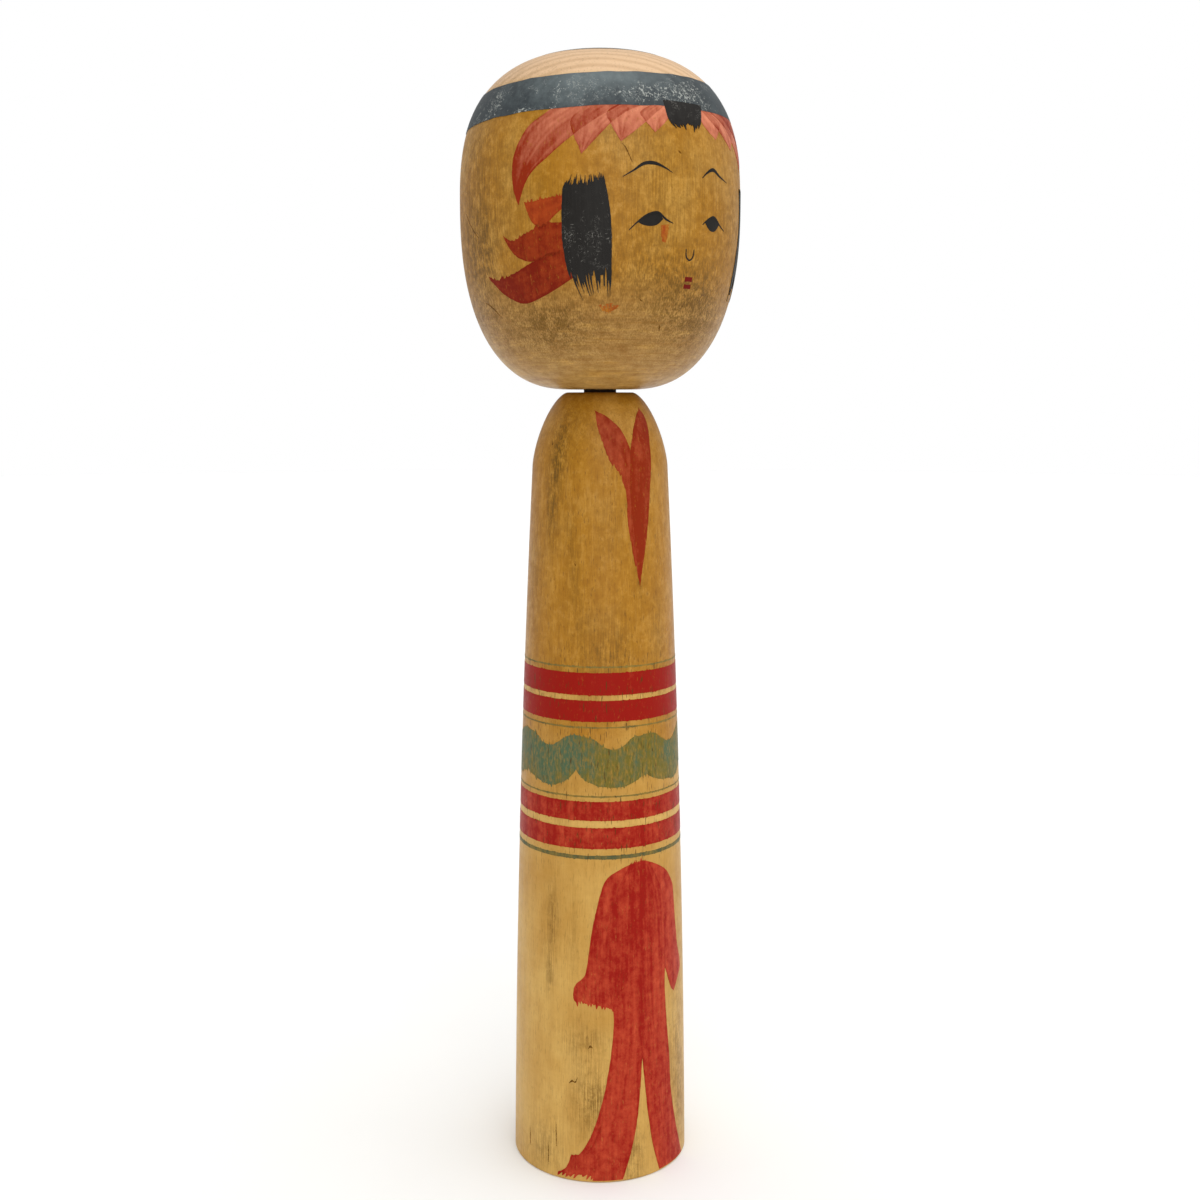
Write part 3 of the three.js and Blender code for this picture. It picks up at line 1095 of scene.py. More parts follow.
# Edges of each brushed stroke on the head: (degrees from the face, millimetres above the chin).
SWEEPS = [
    [
        [(-48, 70.5), (-57, 66.5), (-66.5, 62), (-71, 56), (-71.5, 51.5), (-70, 46.5), (-68.5, 44.5)],
        [(-20, 70), (-28, 67.5), (-38, 64), (-46, 60.5), (-56, 55.5), (-64, 51), (-67, 47.5), (-68.5, 44.5)],
    ],
    [
        [(-34, 70), (-42, 67), (-47.5, 63.3), (-46.3, 60.7), (-44.6, 58.2), (-43, 55.8)],
        [(-10, 70), (-18, 68), (-26, 65.8), (-32, 63), (-37.5, 59.5), (-43, 55.8)],
    ],
    [
        [(-20, 70), (-28, 68), (-33.5, 65), (-32, 63), (-30, 60.8), (-28, 58.8)],
        [(-4, 70), (-9, 68), (-13.5, 66), (-18, 63.7), (-23, 61.2), (-28, 58.8)],
    ],
    [
        [(-9, 70), (-15, 68), (-20, 65.5), (-18, 63.8), (-16, 62.4), (-14.5, 61.3)],
        [(-1, 70), (-4, 68), (-6.5, 66.3), (-8.5, 64.7), (-11.5, 62.9), (-14.5, 61.3)],
    ],
    [
        [(12, 70), (17, 68), (22.5, 65.6), (20.5, 64), (18.8, 62.7), (17, 61.5)],
        [(3, 70), (5.5, 68), (8, 66), (10.5, 64.2), (14, 62.6), (17, 61.5)],
    ],
    [
        [(22, 70), (30, 68), (35.5, 65.5), (33.8, 63.4), (31.6, 61.6), (29.5, 60)],
        [(6, 70), (11, 68), (15.5, 66), (20.5, 64), (25, 62), (29.5, 60)],
    ],
]
FAR_SWEEPS = [SWEEPS[1], SWEEPS[0]]
LEAVES = [
    [
        [(-66, 45), (-63, 45), (-58, 45.5), (-52, 46), (-46, 46)],
        [(-65.5, 44), (-62.5, 40), (-58, 39), (-53.5, 41.5), (-46, 45)],
    ],
    [
        [(-77, 37.5), (-72.5, 36), (-66, 37.5), (-57, 39.5), (-46, 40)],
        [(-76, 36.5), (-72, 33), (-66, 31), (-58, 31.5), (-46, 34)],
    ],
    [
        [(-88, 28), (-84, 27), (-74, 28), (-64, 30.5), (-54, 33), (-46, 32.5)],
        [(-87, 27), (-80, 23.5), (-70, 21), (-60, 22.5), (-53, 24.5), (-46, 27)],
    ],
]
LEAF_LOADS = (-0.35, 0.1, 0.3)  # the highest leaf carries the least dye
NEAR_LOCK = [
    [(-48.5, 51), (-50, 48), (-50.5, 43), (-50.5, 36), (-49.5, 30.5), (-47.5, 25.5), (-43.5, 20.5)],
    [(-35, 52), (-33, 46), (-32, 41), (-31.5, 35), (-31.5, 29), (-31.5, 24), (-31, 20)],
]
FAR_LOCK = [
    [(39.5, 52), (40.8, 49), (41.5, 41), (39, 33), (38, 28), (37.5, 22)],
    [(52, 51.5), (56, 47), (57, 41), (56, 33), (54.5, 26), (53, 20.5)],
]
FORELOCK = [
    [(-9.5, 69.5), (-9, 67.5), (-8.5, 65.5), (-6.5, 63.5), (-4, 62)],
    [(11, 69.5), (10, 67.5), (8.5, 65), (7, 63), (6, 61.5)],
]

# Where the ring is rubbed, and where its ink is thin: (degrees from the front, share of its height from the
# lower edge), (width in degrees, height as a share), depth.
RING_RUBS = (
    ((-79, 0.5), (4, 0.6), 1.0),
    ((-62, 0.0), (8, 0.10), 1.0),
    ((-44, 0.6), (12, 0.3), 0.6),
    ((-14, 0.35), (20, 0.35), 0.8),
    ((12, 0.4), (14, 0.5), 0.85),
    ((60, 0.4), (20, 0.4), 0.8),
    ((130, 0.5), (30, 0.5), 0.7),
    ((-150, 0.4), (25, 0.5), 0.7),
)
RING_THIN = (
    ((-30, 0.85), (30, 0.4), 0.75),
    ((-45, 0.3), (14, 0.4), 0.3),
    ((80, 0.8), (30, 0.5), 0.6),
    ((170, 0.7), (40, 0.5), 0.6),
)


class DOLL_OT_crown_ring(bpy.types.Operator):
    """Paints the dark ring and the round cap of ink on the crown"""

    bl_idname = "doll.crown_ring"
    bl_label = "Crown ring"

    def execute(self, context):
        colours, paint, skin = at_hand(context, "head")
        low, high, lean, leans_from = 67.4 * MM, 76.1 * MM, 1.2 * MM, math.radians(30.0)
        cap_radius, unevenness, rows, columns = 17.8 * MM, 0.25 * MM, 40, 240

        def edge(height):
            """An edge of the ring, which leans: its height above the chin plus a sine once round."""
            return lambda angle: HEAD_LOW.z + height + lean * np.sin(angle + leans_from)

        lift = paint.film + 5.0 * paint.layer
        ring = banded(skin, edge(low), edge(high), rows, ROUND, lift, seed=11, shake=0.25)
        share = np.linspace(0.0, 1.0, rows)[:, None] * MM
        crowd = value_noise(ROUND_NOISE * np.cos(ring["angle"]), ROUND_NOISE * np.sin(ring["angle"]), 15)
        ring["scuff"] = 0.5 * ramp(crowd, 0.45, 0.9) * (1.2 - share * PER_MM)
        ring["scuff"] = ring["scuff"] + spotted(ring["angle"], share, RING_RUBS)
        thinned = spotted(ring["angle"], share, RING_THIN)
        ring["load"] = 0.95 - thinned + 0.15 * (crowd - 0.5)
        # the ring's colours are partly painted reflection of the bright room above
        finish = (colours, colours.ring, colours.ring_thin_and_sheen, colours.ring_scuff)
        painted(context, "crown_ring_ink", "head", skin, [ring], rubbed_ink("rubbed ring ink", *finish))

        share = np.linspace(0.0, 1.0, rows)[:, None]
        angle = np.arange(columns)[None, :] * FULL_TURN / columns
        uneven = value_noise(ROUND_NOISE * np.cos(angle), ROUND_NOISE * np.sin(angle), 12) - 0.5
        radius = (cap_radius + unevenness * uneven) * (1.0 - share)
        cap = {
            "angle": angle + 0.0 * share,
            "along": skin.at_crown_radius(radius),
            "lift": np.full(radius.shape, paint.film),
            "load": np.full(radius.shape, 0.75),
            "scuff": 0.4,
            "closed": True,
        }
        painted(context, "crown_cap_ink", "head", skin, [cap], rubbed_ink("rubbed cap ink", *finish))
        return {"FINISHED"}


class DOLL_OT_hair(bpy.types.Operator):
    """Brushes the forelock and the two side locks in ink, with the bristles' ragged ends"""

    bl_idname = "doll.hair"
    bl_label = "Hair"

    def execute(self, context):
        colours, paint, skin = at_hand(context, "head")
        turn, lift = paint.face_turn, paint.film + 4.0 * paint.layer
        across = np.linspace(0.0, 1.0, 150)
        down = across[:, None]
        locks = []
        for number, edges in enumerate(raised([NEAR_LOCK, FAR_LOCK])):
            start = bristle_ends(across, 26, 0.11, 21 + number, 0.9)
            end = bristle_ends(across, 15, 0.30, 31 + number, 0.5)
            seed = 41 + 9 * number
            lock = brushed(skin, edges, 150, 150, turn, lift, start=start, end=end, shake=0.1, seed=seed)
            # the locks are rubbed most a little below their middle
            lock["scuff"] = 0.05 + 0.6 * np.exp(-(((down - 0.58) / 0.2) ** 2)) + 0.0 * lock["load"]
            lock["load"] = lock["load"] + 0.25 + 0.1 * down
            locks.append(lock)
        ink = rubbed_ink("rubbed hair ink", colours, colours.ink, colours.ink_thin, colours.ink_rub)
        painted(context, "side_locks_ink", "head", skin, locks, ink)
        end = bristle_ends(np.linspace(0.0, 1.0, 100), 11, 0.42, 61, 0.6)
        lift = lift + 2.0 * paint.layer
        forelock = brushed(skin, raised([FORELOCK])[0], 60, 100, turn, lift, end=end, shake=0.1, seed=62)
        forelock["load"] = forelock["load"] + 0.2
        forelock["scuff"] = 0.55 - 0.5 * np.linspace(0.0, 1.0, 60)[:, None]
        painted(context, "forelock_ink", "head", skin, [forelock], ink)
        return {"FINISHED"}


class DOLL_OT_hair_ribbons(bpy.types.Operator):
    """Brushes the coral strokes round the brow and the brick-red leaves behind the side locks"""

    bl_idname = "doll.hair_ribbons"
    bl_label = "Hair ribbons"

    def execute(self, context):
        colours, paint, skin = at_hand(context, "head")
        patches = []
        strokes = raised(SWEEPS + mirrored(FAR_SWEEPS))
        for k, stroke in enumerate(strokes):
            lift = paint.film + (k % 4) * paint.layer
            patch = brushed(skin, stroke, 100, 60, paint.face_turn, lift, seed=71 + 7 * k)
            # the widest stroke on each side is loaded more at its root and deepens less towards its tip
            root, deepen = (-0.21, 0.7) if k in (0, len(strokes) - 1) else (-0.46, 0.95)
            down = np.clip((HEAD_LOW.z + 68.0 * MM - patch_height(skin, patch)) / (18.0 * MM), 0.0, 1.0)
            patch["load"] = patch["load"] + root + deepen * down
            patches.append(patch)
        coral = ("brushed coral dye on dogwood", colours, colours.kase_thin, colours.kase_deep)
        dye = dye_on_wood(*coral, patchy=0.16)
        painted(context, "brow_ribbons_dye", "head", skin, overlaid(patches, 0.4), dye)

        patches = []
        toward_lock = np.linspace(0.0, 1.0, 220)[:, None] ** 2.0
        lift = paint.film + paint.layer
        for k, stroke in enumerate(raised(LEAVES + mirrored(LEAVES))):
            patch = brushed(skin, stroke, 220, 32, paint.face_turn, lift, teeth=0.9, seed=151 + 7 * k)
            patch["load"] = patch["load"] + LEAF_LOADS[k % 3] - 0.25 * toward_lock
            patches.append(patch)
        brick = ("brushed brick dye on dogwood", colours, colours.leaf_thin, colours.leaf_deep)
        painted(context, "leaf_strokes_dye", "head", skin, patches, dye_on_wood(*brick, patchy=0.25))
        return {"FINISHED"}


def patch_height(skin, patch):
    return np.interp(patch["along"], skin.along, skin.side[:, 1])


def line_edges(points, widths):
    """The two edges of a drawn line: its middle moved up and down by half its width, in millimetres."""
    points = np.asarray(points, float)
    half = np.asarray(widths, float)[:, None] / 2.0
    slope = np.gradient(points * (FACE_DEGREE, 1.0), axis=0)
    slope /= np.linalg.norm(slope, axis=1)[:, None]
    across = np.stack([-slope[:, 1] / FACE_DEGREE, slope[:, 0]], axis=1)
    return [(points + across * half).tolist(), (points - across * half).tolist()]


# The drawn lines of the face: points in degrees from the face and millimetres above the chin, then widths.
BROWS = [
    (
        [(-27.5, 50.5), (-23.5, 52), (-19, 53.8), (-15.5, 54), (-10.5, 53), (-7.5, 52)],
        (0.15, 0.4, 0.8, 0.85, 0.4, 0.12),
    ),
    ([(7, 51.5), (10, 53), (13.5, 53.9), (18, 52.6), (23.5, 51.5)], (0.15, 0.5, 0.9, 0.5, 0.12)),
]
LIDS = [
    (
        [(-25, 38), (-22, 39.8), (-19.5, 41), (-16.5, 42), (-13.5, 42.3), (-10, 40.8), (-7, 40)],
        (0.2, 0.35, 0.6, 0.7, 0.7, 0.45, 0.2),
    ),
    (
        [(7.5, 40.3), (9.5, 41.2), (12, 42), (14, 42.4), (16, 41.9), (18.5, 40.7), (22, 39.5)],
        (0.2, 0.4, 0.6, 0.7, 0.6, 0.4, 0.2),
    ),
]
PUPILS = [
    [
        [(-21.5, 40), (-19.5, 41), (-16.5, 42), (-13.5, 42.3), (-11.5, 41)],
        [(-21.5, 39.9), (-20, 39.4), (-17, 39.1), (-13.8, 39.5), (-11.5, 40.8)],
    ],
    [
        [(9, 41), (10.5, 41.5), (12.5, 42.1), (14.5, 42.3), (18, 41)],
        [(9, 40.9), (10.5, 39.8), (12.5, 39), (15.5, 39.2), (18, 40.8)],
    ],
]
NOSE = ([(-0.3, 34.1), (-0.1, 32.5), (1.7, 31.5), (3.5, 32.5), (3.7, 34.1)], (0.25, 0.35, 0.38, 0.35, 0.25))
MOUTH = [
    ([(0.6, 26.9), (2.5, 26.95), (4.4, 26.9)], (1.25, 1.05, 1.25)),
    ([(0.5, 25.2), (2.3, 25.15), (4.1, 25.2)], (1.15, 0.95, 1.15)),
]


# Scratches and specks of dirt on the head and the body, each a short drawn line: points, then widths.
HEAD_SCARS = [
    ([(-4.6, 57.4), (-4, 57.1), (-3.4, 56.8)], (0.2, 0.55, 0.2)),
    ([(-8.1, 15.9), (-7.9, 15.1), (-7.6, 14.2)], (0.15, 0.5, 0.15)),
    ([(-27.6, 58.4), (-26.2, 57.2), (-25.1, 55.8), (-23.9, 54)], (0.1, 0.3, 0.25, 0.1)),
    ([(-95.6, 21.8), (-92.5, 21.2), (-89, 19.8), (-85.4, 17.8)], (0.15, 0.45, 0.4, 0.1)),
    ([(-104, 44.5), (-100.5, 42.2), (-97, 40), (-92.8, 37.8)], (0.2, 0.35, 0.3, 0.1)),
    ([(-19.6, 22), (-18.8, 21.5), (-18, 21.3)], (0.1, 0.35, 0.1)),
    ([(-70.9, 24.6), (-70.2, 24.3), (-69.5, 23.9)], (0.1, 0.4, 0.1)),
    ([(120, 30), (124, 27.5), (129, 26.4)], (0.1, 0.4, 0.1)),
]
BODY_SCARS = [
    ([(-50.5, 28), (-48.3, 28.8), (-46.3, 28.5), (-44.5, 30)], (0.2, 0.6, 0.4, 0.1)),
    ([(-37.6, 38.4), (-36.2, 39), (-34.8, 38.6)], (0.2, 0.7, 0.2)),
    ([(-83.4, 11.5), (-83, 8.8), (-82.6, 6)], (0.1, 0.5, 0.1)),
    ([(-66.4, 10), (-65.8, 7), (-65.4, 3)], (0.1, 0.35, 0.1)),
    ([(-59.8, 16), (-59.6, 13), (-59.4, 9)], (0.1, 0.4, 0.1)),
    ([(-78.2, 201.9), (-76.9, 200.6), (-75.4, 200.9)], (0.1, 0.45, 0.1)),
    ([(-50, 169.9), (-49.3, 169.3), (-48.4, 169.5)], (0.1, 0.5, 0.1)),
    ([(150, 90), (150.5, 84), (150.2, 79)], (0.1, 0.4, 0.1)),
]
# Edges of the red smudges: six short hairs and a smear by the mouth, and one smear below an eye.
SMUDGES = [
    [[(-36.4, 20.2), (-35.4, 19.4), (-34.5, 18.6)], [(-35.7, 20.4), (-34.9, 19.5), (-34.4, 18.7)]],
    [[(-34.8, 20), (-34, 19.2), (-33.2, 18)], [(-33.9, 20.2), (-33.3, 19.2), (-33, 18.1)]],
    [[(-33.4, 20.6), (-33, 19.2), (-32.6, 18.3)], [(-32.5, 20.5), (-32.2, 19.2), (-32.3, 18.4)]],
    [[(-32, 20.8), (-31.9, 19.5), (-31.8, 18.5)], [(-31, 20.6), (-31.2, 19.4), (-31.5, 18.5)]],
    [[(-30.4, 20.4), (-30.7, 19.6), (-31, 18.9)], [(-29.4, 20.2), (-30, 19.4), (-30.8, 18.9)]],
    [[(-29, 20.4), (-29.4, 19.9), (-29.9, 19.5)], [(-28, 20.3), (-28.7, 19.7), (-29.6, 19.4)]],
    [
        [(-35, 19.5), (-33, 19.5), (-31, 19.7), (-29, 20)],
        [(-35, 19), (-33, 18.8), (-31, 18.9), (-29, 19.5)],
    ],
    [[(-12.2, 39.4), (-12, 37.6), (-11.4, 35.6)], [(-8.8, 39.8), (-9.2, 37.6), (-9.8, 35.4)]],
]


class DOLL_OT_wear(bpy.types.Operator):
    """Adds the dirt in old scratches and the red smudges on the cheek"""

    bl_idname = "doll.wear"
    bl_label = "Scratches and smudges"

    def execute(self, context):
        colours, paint, head = at_hand(context, "head")
        turn = paint.face_turn
        old = ("dirt in old scratches", colours, colours.wood_grain, colours.wood_pore)
        dirt = dye_on_wood(*old, worn=0.7)
        wear = (
            ("head", head, turn, raised([line_edges(*line) for line in HEAD_SCARS])),
            ("body", at_hand(context, "body")[2], 0.0, [line_edges(*line) for line in BODY_SCARS]),
        )
        for body, skin, turned, scars in wear:
            patches = [
                brushed(skin, scar, 24, 5, turned, 0.4 * paint.film, shake=0.12, seed=701 + 5 * k)
                for k, scar in enumerate(scars)
            ]
            painted(context, body + "_scratches", body, skin, patches, dirt)
        patches = [
            brushed(head, smudge, 24, 12, turn, 0.5 * paint.film, shake=0.3, seed=751 + 5 * k)
            for k, smudge in enumerate(raised(SMUDGES))
        ]
        smeared = ("smeared red dye on dogwood", colours, colours.smudge, colours.smudge_deep)
        smear = dye_on_wood(*smeared, worn=1.0, patchy=0.6)
        painted(context, "cheek_smudges", "head", head, patches, smear)
        return {"FINISHED"}


class DOLL_OT_face(bpy.types.Operator):
    """Draws the brows, eyes and nose in ink and the mouth in red"""

    bl_idname = "doll.face"
    bl_label = "Face"

    def execute(self, context):
        colours, paint, skin = at_hand(context, "head")
        turn = paint.face_turn
        ink = rubbed_ink("brushed face ink", colours, colours.ink, colours.ink_thin, colours.ink_thin)
        groups = {
            "brows_ink": [line_edges(*line) for line in BROWS],
            "eyes_ink": [line_edges(*line) for line in LIDS] + PUPILS,
            "nose_ink": [line_edges(*NOSE)],
        }
        for name, strokes in groups.items():
            patches = []
            for k, stroke in enumerate(raised(strokes)):
                lift = paint.film + (k % 2) * paint.layer
                patches.append(brushed(skin, stroke, 90, 9, turn, lift, shake=0.03, seed=201 + 5 * k))
                patches[-1]["load"] = patches[-1]["load"] + 0.35
            painted(context, name, "head", skin, patches, ink)
        patches = [
            brushed(skin, stroke, 24, 9, turn, paint.film, shake=0.05, seed=231 + 5 * k)
            for k, stroke in enumerate(raised([line_edges(*line) for line in MOUTH]))
        ]
        red = dye_on_wood("brushed lip dye on dogwood", colours, colours.lip, colours.lip, worn=0.0)
        painted(context, "mouth_dye", "head", skin, patches, red)
        return {"FINISHED"}


# Edges of the strokes on the body: (degrees from the front, millimetres above the floor).
CHEST_PETALS = [
    [
        [(-36, 209.5), (-31.5, 204), (-22, 196.5), (-11.5, 191)]
        + [(-8.5, 187.5), (-7.5, 180), (-4.5, 173.5), (2, 163.5)],
        [(-36, 209.5), (-18.5, 207), (-6.5, 202.5), (-3, 199), (1, 190), (3, 180), (3, 170), (2, 163.5)],
    ],
    [
        [(21, 210), (10, 207.5), (2.5, 204), (-3, 199), (-5, 190), (-3, 180), (0, 170), (2, 163.5)],
        [(21, 210), (24.5, 208), (19.5, 200.5), (15.5, 190.5)]
        + [(12.5, 182.5), (8, 173.5), (4.5, 168), (2, 163.5)],
    ],
]
SKIRT = [
    [
        [(-5, 89.5), (-16, 88), (-27, 84.5), (-33, 76)]
        + [(-37.5, 65), (-39.5, 59.5), (-47.5, 54.5), (-47.5, 50)],
        [(2, 90), (2, 84), (1, 76), (-3, 66), (-8, 60), (-13, 56), (-18, 52.5), (-21, 48.5)],
    ],
    [
        [(-7, 90), (-6, 84), (-2, 76), (8, 66), (18.5, 58.8), (23.5, 54), (26, 51.5), (29.5, 50)],
        [(3, 89.5), (14, 87.5), (24, 84.5), (30, 80.5), (32.5, 72)]
        + [(35.5, 64), (41, 55.5), (36, 53), (29.5, 50)],
    ],
    [
        [(-8, 90), (-18, 82), (-24, 70), (-24, 56), (-21, 46)]
        + [(-23, 36), (-28, 24), (-37, 12.5), (-49, 5), (-60, 0.7)],
        [(2, 91), (5, 82), (8, 70), (6, 56), (2, 46), (-1, 36), (-3, 26), (-5.5, 16.5), (-11, 6), (-15, 0.7)],
    ],
    [
        [(-6, 89), (-9, 76), (-8, 62), (-5, 48), (-1.5, 36), (1, 26), (3, 18), (6.5, 9.5), (12, 0.7)],
        [(6, 89), (18, 78), (19.5, 62), (18.6, 54), (20, 44), (22.5, 34), (25, 20.5), (30, 12), (40, 0.7)],
    ],
]
# each band: its lowest and highest edge, in millimetres above the floor, and how much more dye it carries
RED_BANDS = (
    (93.75, 99.4, 0.15),
    (101.4, 106.5, 0.15),
    (128.05, 133.65, 0.6),
    (135.1, 141.05, 0.6),
)
GREEN_LINES = (
    (90.95, 91.9, 0.0),
    (107.75, 108.1, -0.35),
    (126.3, 126.65, -0.35),
    (142.4, 142.75, -0.35),
)
# each notch under the wave: degrees from the front, millimetres above the floor
WAVE_NOTCHES = (
    (-93, 112.8),
    (-47, 115.3),
    (5, 113.6),
    (56, 114.5),
    (108, 113),
    (161, 115),
    (213, 114),
    (267, 112.8),
)
WAVE_FLOOR, WAVE_TOP, WAVE_DIP = 110.2, 124.0, 3.2  # lowest and highest edge and dip, in millimetres
# where the wave's green has kept its blue: (degrees, millimetres up), (width, height), depth
WAVE_TEAL = (
    ((-88, 120), (15, 6), 0.9),
    ((-72, 114), (14, 6), 0.6),
    ((-54, 119.5), (10, 4.5), 1.3),
    ((-40, 118), (9, 6), 0.55),
    ((-4, 117), (12, 6), 0.2),
    ((26, 118.5), (5, 2.5), 1.1),
    ((40, 116), (14, 6), 0.35),
    ((70, 118), (18, 6), 0.8),
    ((112, 117), (16, 6), 0.5),
    ((150, 119), (18, 5), 0.9),
    ((195, 116), (20, 6), 0.6),
    ((240, 118), (18, 5), 0.9),
)


class DOLL_OT_chest_petals(bpy.types.Operator):
    """Brushes the two red petals that meet in a point on the chest"""

    bl_idname = "doll.chest_petals"
    bl_label = "Chest petals"

    def execute(self, context):
        colours, paint, skin = at_hand(context, "body")
        rows, patches = 200, []
        along = np.linspace(0.0, 1.0, rows)[:, None]
        for k, (stroke, teeth) in enumerate(zip(CHEST_PETALS, (1.1, 0.2))):
            lift = paint.film + k * paint.layer
            patch = brushed(skin, stroke, rows, 40, 0.0, lift, teeth=teeth, seed=301 + 7 * k)
            patch["load"] = patch["load"] - 0.1 + 0.3 * k + 0.25 * along
            patches.append(patch)
        red = dye_on_wood("brushed petal dye on dogwood", colours, colours.petal_thin, colours.petal_deep)
        painted(context, "chest_petals_dye", "body", skin, patches, red)
        return {"FINISHED"}


class DOLL_OT_bands(bpy.types.Operator):
    """Paints the red bands and the thin green lines that circle the body"""

    bl_idname = "doll.bands"
    bl_label = "Bands and lines"

    def execute(self, context):
        colours, paint, skin = at_hand(context, "body")
        red = ("spun red dye on dogwood", colours, colours.red_thin, colours.red_deep, 0.3)
        green = ("spun green dye on dogwood", colours, colours.line_thin, colours.line_deep, 0.8)
        sets = (
            ("red_bands_dye", RED_BANDS, 13, 401, red),
            ("green_lines_dye", GREEN_LINES, 4, 451, green),
        )
        for name, bands, rows, seed, finish in sets:
            patches = []
            for k, (low, high, more) in enumerate(bands):
                edges = [lambda angle, up=up: up * MM + 0.0 * angle for up in (low, high)]
                band = banded(skin, *edges, rows, ROUND, paint.film, seed=seed + 7 * k, bleed=0.3)
                band["load"] = band["load"] + more
                patches.append(band)
            painted(context, name, "body", skin, patches, dye_on_wood(*finish))
        return {"FINISHED"}


class DOLL_OT_wave(bpy.types.Operator):
    """Brushes the green wave between the bands"""

    bl_idname = "doll.wave"
    bl_label = "Green wave"

    def execute(self, context):
        colours, paint, skin = at_hand(context, "body")
        notches, tops = np.asarray(WAVE_NOTCHES, float).T
        columns = 1200

        def share(angle):
            """The angle counted on from the first notch, and the share of the way to the next notch."""
            turned = (np.degrees(angle) - notches[0]) % 360.0 + notches[0]
            place = np.interp(turned, notches, np.arange(len(notches), dtype=float))
            return turned, place - np.floor(place)

        def low(angle):
            """The lower edge hangs from notch to notch as sin^0.7."""
            turned, place = share(angle)
            hollow = np.sin(math.pi * place) ** 0.7
            return (np.interp(turned, notches, tops) * (1.0 - hollow) + WAVE_FLOOR * hollow) * MM

        def high(angle):
            """The upper edge dips as sin^3 between crests that stand over the notches."""
            return (WAVE_TOP - WAVE_DIP * np.sin(math.pi * share(angle)[1]) ** 3.0) * MM

        wave = banded(skin, low, high, 36, columns, paint.film, seed=501, shake=0.7, bleed=0.9)
        streaks = value_noise(np.arange(columns) * 0.31, 0.0, 507)[None, :]
        wave["load"] = 0.25 * wave["load"] + 0.35 * (streaks - 0.5)
        wave["load"] = wave["load"] + spotted(wave["angle"], patch_height(skin, wave), WAVE_TEAL)
        green = ("brushed green dye on dogwood", colours, colours.green_olive, colours.green_teal)
        dye = dye_on_wood(*green, worn=0.55, patchy=0.4, rubbed=0.14)
        painted(context, "green_wave_dye", "body", skin, [wave], dye)
        return {"FINISHED"}


class DOLL_OT_skirt(bpy.types.Operator):
    """Brushes the long red strokes that spread to the foot"""

    bl_idname = "doll.skirt"
    bl_label = "Skirt strokes"

    def execute(self, context):
        colours, paint, skin = at_hand(context, "body")
        rows, columns = 150, 72
        across = np.linspace(0.0, 1.0, columns)
        foot = ramp(np.linspace(0.0, 1.0, rows), 0.84, 0.94)[:, None]
        # how ragged each stroke's end is, and how tall the bristle marks on its first edge stand
        ends = (
            bristle_ends(across, 15, 0.035, 601),
            None,
            bristle_ends(across, 16, 0.03, 603) * (across < 0.55),
            None,
        )
        teeth = (0.0, 0.0, 3.0 * foot, 0.0)
        patches = []
        for k, stroke in enumerate(SKIRT):
            ragged = {"start": bristle_ends(across, 9, 0.02, 606 + k), "end": ends[k], "teeth": teeth[k]}
            lift = paint.film + k * paint.layer
            patches.append(brushed(skin, stroke, rows, columns, 0.0, lift, seed=611 + 7 * k, **ragged))
        red = ("brushed red dye on dogwood", colours, colours.red_thin, colours.red_deep)
        dye = dye_on_wood(*red, worn=0.22)
        painted(context, "skirt_strokes_dye", "body", skin, overlaid(patches, 0.12), dye)
        return {"FINISHED"}


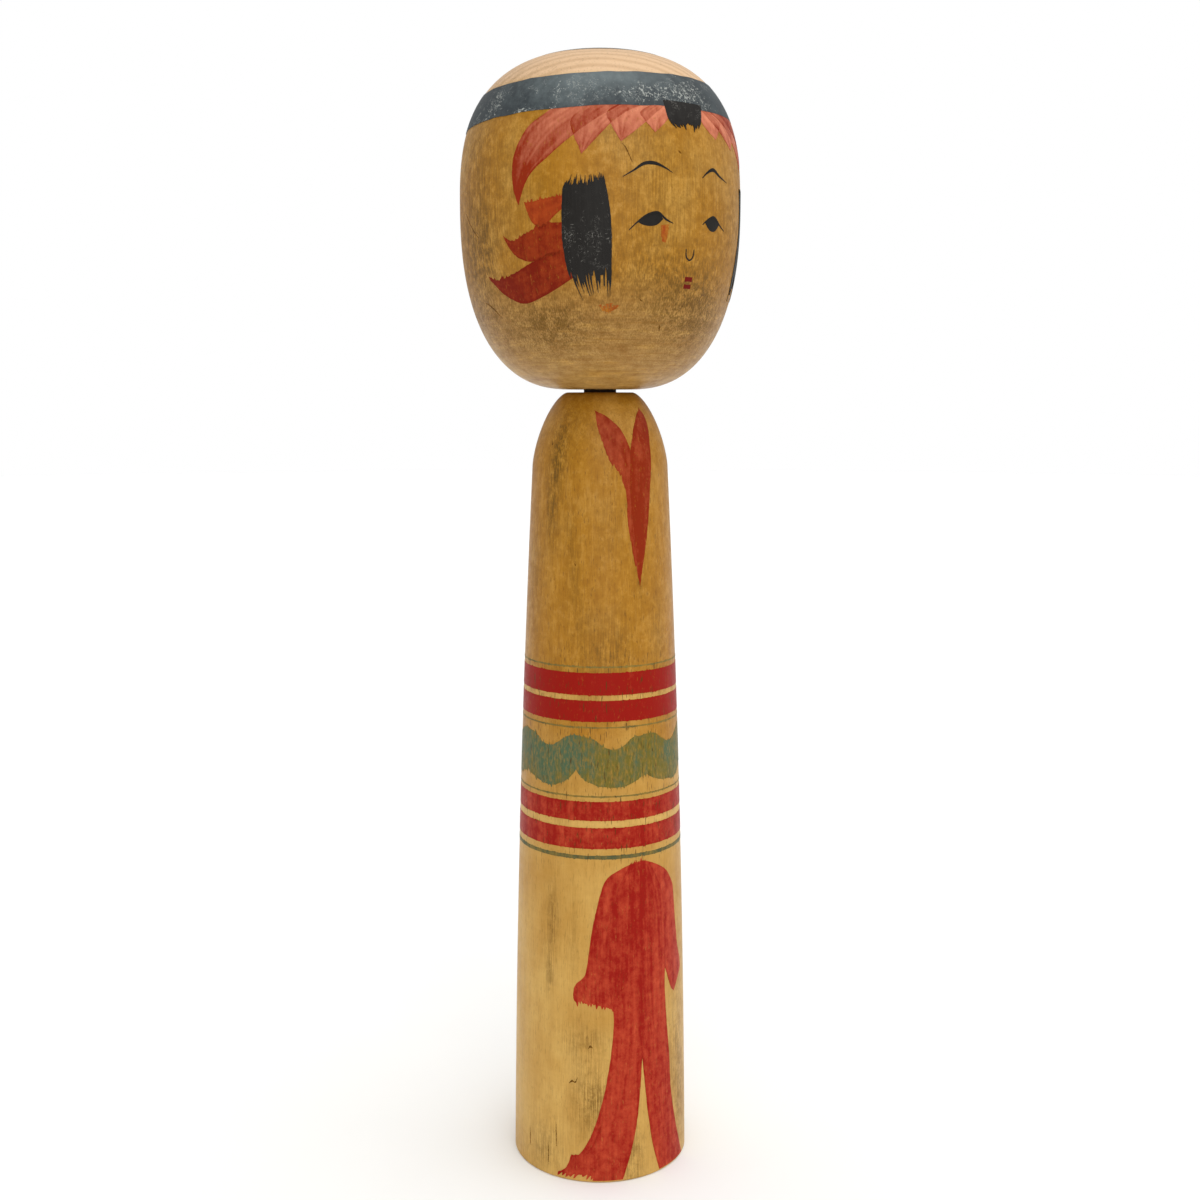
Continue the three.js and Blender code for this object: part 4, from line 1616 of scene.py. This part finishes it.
class DOLL_OT_stage(bpy.types.Operator):
    """Lays the pale floor and sets the soft lights and the camera"""

    bl_idname = "doll.stage"
    bl_label = "Stage"

    def execute(self, context):
        scene, stage = context.scene, context.scene.doll_stage
        ring = np.concatenate([[0.0], np.geomspace(0.05, stage.floor_radius, 24)])
        angle = np.arange(96) * FULL_TURN / 96
        flat = 0.0 * ring[:, None] + 0.0 * angle
        grid = np.stack([ring[:, None] * np.sin(angle), -ring[:, None] * np.cos(angle), flat], axis=2)
        index = np.arange(ring.size * angle.size).reshape(ring.size, angle.size)
        after = np.roll(index, -1, axis=1)
        faces = np.stack([index[:-1], index[1:], after[1:], after[:-1]], axis=2).reshape(-1, 4)
        mesh = bpy.data.meshes.new("floor")
        mesh.from_pydata(grid.reshape(-1, 3).tolist(), [], faces.tolist())
        mesh.materials.append(floor_paper("matte white paper", stage))
        floor = bpy.data.objects.new("floor", mesh)
        scene.collection.objects.link(floor)

        toward = Vector((math.sin(stage.camera_azimuth), -math.cos(stage.camera_azimuth), 0.0))
        world = bpy.data.worlds.new("pale room")
        world.use_nodes = True
        tree = world.node_tree
        tree.nodes.clear()
        way = add_node(tree, "ShaderNodeTexCoord", {}, {}).outputs["Generated"]
        facing = add_node(tree, "ShaderNodeVectorMath", {"operation": "DOT_PRODUCT"}, {0: way, 1: toward})
        # the room is bright behind the doll and falls off towards the camera's side
        glow = add_node(
            tree,
            RANGE,
            {"interpolation_type": "SMOOTHSTEP"},
            {0: facing.outputs["Value"], 1: -0.4, 2: 0.7, 3: stage.room_behind, 4: stage.room_before},
        )
        white = (1.0, 1.0, 1.0, 1.0)
        path = add_node(tree, "ShaderNodeLightPath", {}, {})
        # the wax mirrors a dimmer room than the one that lights the doll, as between black cards
        background = "ShaderNodeBackground"
        value = {
            "glow": glow.outputs[0],
            "glossy": path.outputs["Is Glossy Ray"],
            "direct": path.outputs["Is Camera Ray"],
        }
        recipe = (
            ("carded", RANGE, {}, ("glossy", 0.0, 1.0, 1.0, stage.carded)),
            ("glow_here", MATH, MULTIPLY, ("glow", "carded")),
            ("room", background, {}, {"Color": white, "Strength": "glow_here"}),
            ("seen", background, {}, {"Color": white, "Strength": 1.0}),
            ("either", "ShaderNodeMixShader", {}, ("direct", "room", "seen")),
        )
        laid_out(tree, value, recipe)
        add_node(tree, "ShaderNodeOutputWorld", {}, {"Surface": value["either"]})
        scene.world = world

        # each light: its name, the direction it comes from, its strength and how wide it spreads
        lights = (
            ("ceiling light", (0.0, -0.5, 1.0), stage.ceiling_strength, math.radians(80.0)),
            ("front light", (-0.4, -1.0, 0.35), stage.front_strength, math.radians(50.0)),
        )
        for name, source, strength, spread in lights:
            lamp = bpy.data.lights.new(name, "SUN")
            lamp.energy = strength
            lamp.angle = spread
            holder = bpy.data.objects.new(name, lamp)
            holder.rotation_euler = Vector(source).to_track_quat("Z", "Y").to_euler()
            scene.collection.objects.link(holder)

        camera = bpy.data.cameras.new("camera")
        camera.sensor_width = 36.0
        camera.lens = stage.lens
        camera.clip_start = 0.01
        holder = bpy.data.objects.new("camera", camera)
        holder.location = (
            stage.camera_distance * math.sin(stage.camera_azimuth),
            -stage.camera_distance * math.cos(stage.camera_azimuth),
            stage.camera_height,
        )
        holder.rotation_euler = (math.pi / 2.0 - stage.camera_pitch, 0.0, stage.camera_azimuth)
        scene.collection.objects.link(holder)
        scene.camera = holder
        scene.view_settings.view_transform = "Standard"
        return {"FINISHED"}


STEPS = (
    DOLL_OT_body,
    DOLL_OT_head,
    DOLL_OT_peg,
    DOLL_OT_crown_ring,
    DOLL_OT_hair,
    DOLL_OT_hair_ribbons,
    DOLL_OT_face,
    DOLL_OT_chest_petals,
    DOLL_OT_bands,
    DOLL_OT_wave,
    DOLL_OT_skirt,
    DOLL_OT_wear,
    DOLL_OT_stage,
)
SETTINGS = (
    ("doll_turning", DollTurning),
    ("doll_paint", DollPaint),
    ("doll_colours", DollColours),
    ("doll_stage", DollStage),
)


class DOLL_PT_panel(bpy.types.Panel):
    """Lists the pieces of the doll and their settings"""

    bl_idname = "DOLL_PT_panel"
    bl_label = "Turned Doll"
    bl_space_type = "VIEW_3D"
    bl_region_type = "UI"
    bl_category = "Doll"

    def draw(self, context):
        layout = self.layout
        for name, group in SETTINGS:
            box = layout.box()
            for key in group.__annotations__:
                box.prop(getattr(context.scene, name), key)
        for step in STEPS:
            layout.operator(step.bl_idname)


def register():
    for name, group in SETTINGS:
        bpy.utils.register_class(group)
        setattr(bpy.types.Scene, name, bpy.props.PointerProperty(type=group))
    for step in STEPS:
        bpy.utils.register_class(step)
    bpy.utils.register_class(DOLL_PT_panel)


def unregister():
    bpy.utils.unregister_class(DOLL_PT_panel)
    for step in reversed(STEPS):
        bpy.utils.unregister_class(step)
    for name, group in reversed(SETTINGS):
        delattr(bpy.types.Scene, name)
        bpy.utils.unregister_class(group)


def main():
    """Registers the steps and makes every piece in order."""
    register()
    bpy.ops.doll.body()
    bpy.ops.doll.head()
    bpy.ops.doll.peg()
    bpy.ops.doll.crown_ring()
    bpy.ops.doll.hair()
    bpy.ops.doll.hair_ribbons()
    bpy.ops.doll.face()
    bpy.ops.doll.chest_petals()
    bpy.ops.doll.bands()
    bpy.ops.doll.wave()
    bpy.ops.doll.skirt()
    bpy.ops.doll.wear()
    bpy.ops.doll.stage()


if __name__ == "__main__":
    main()
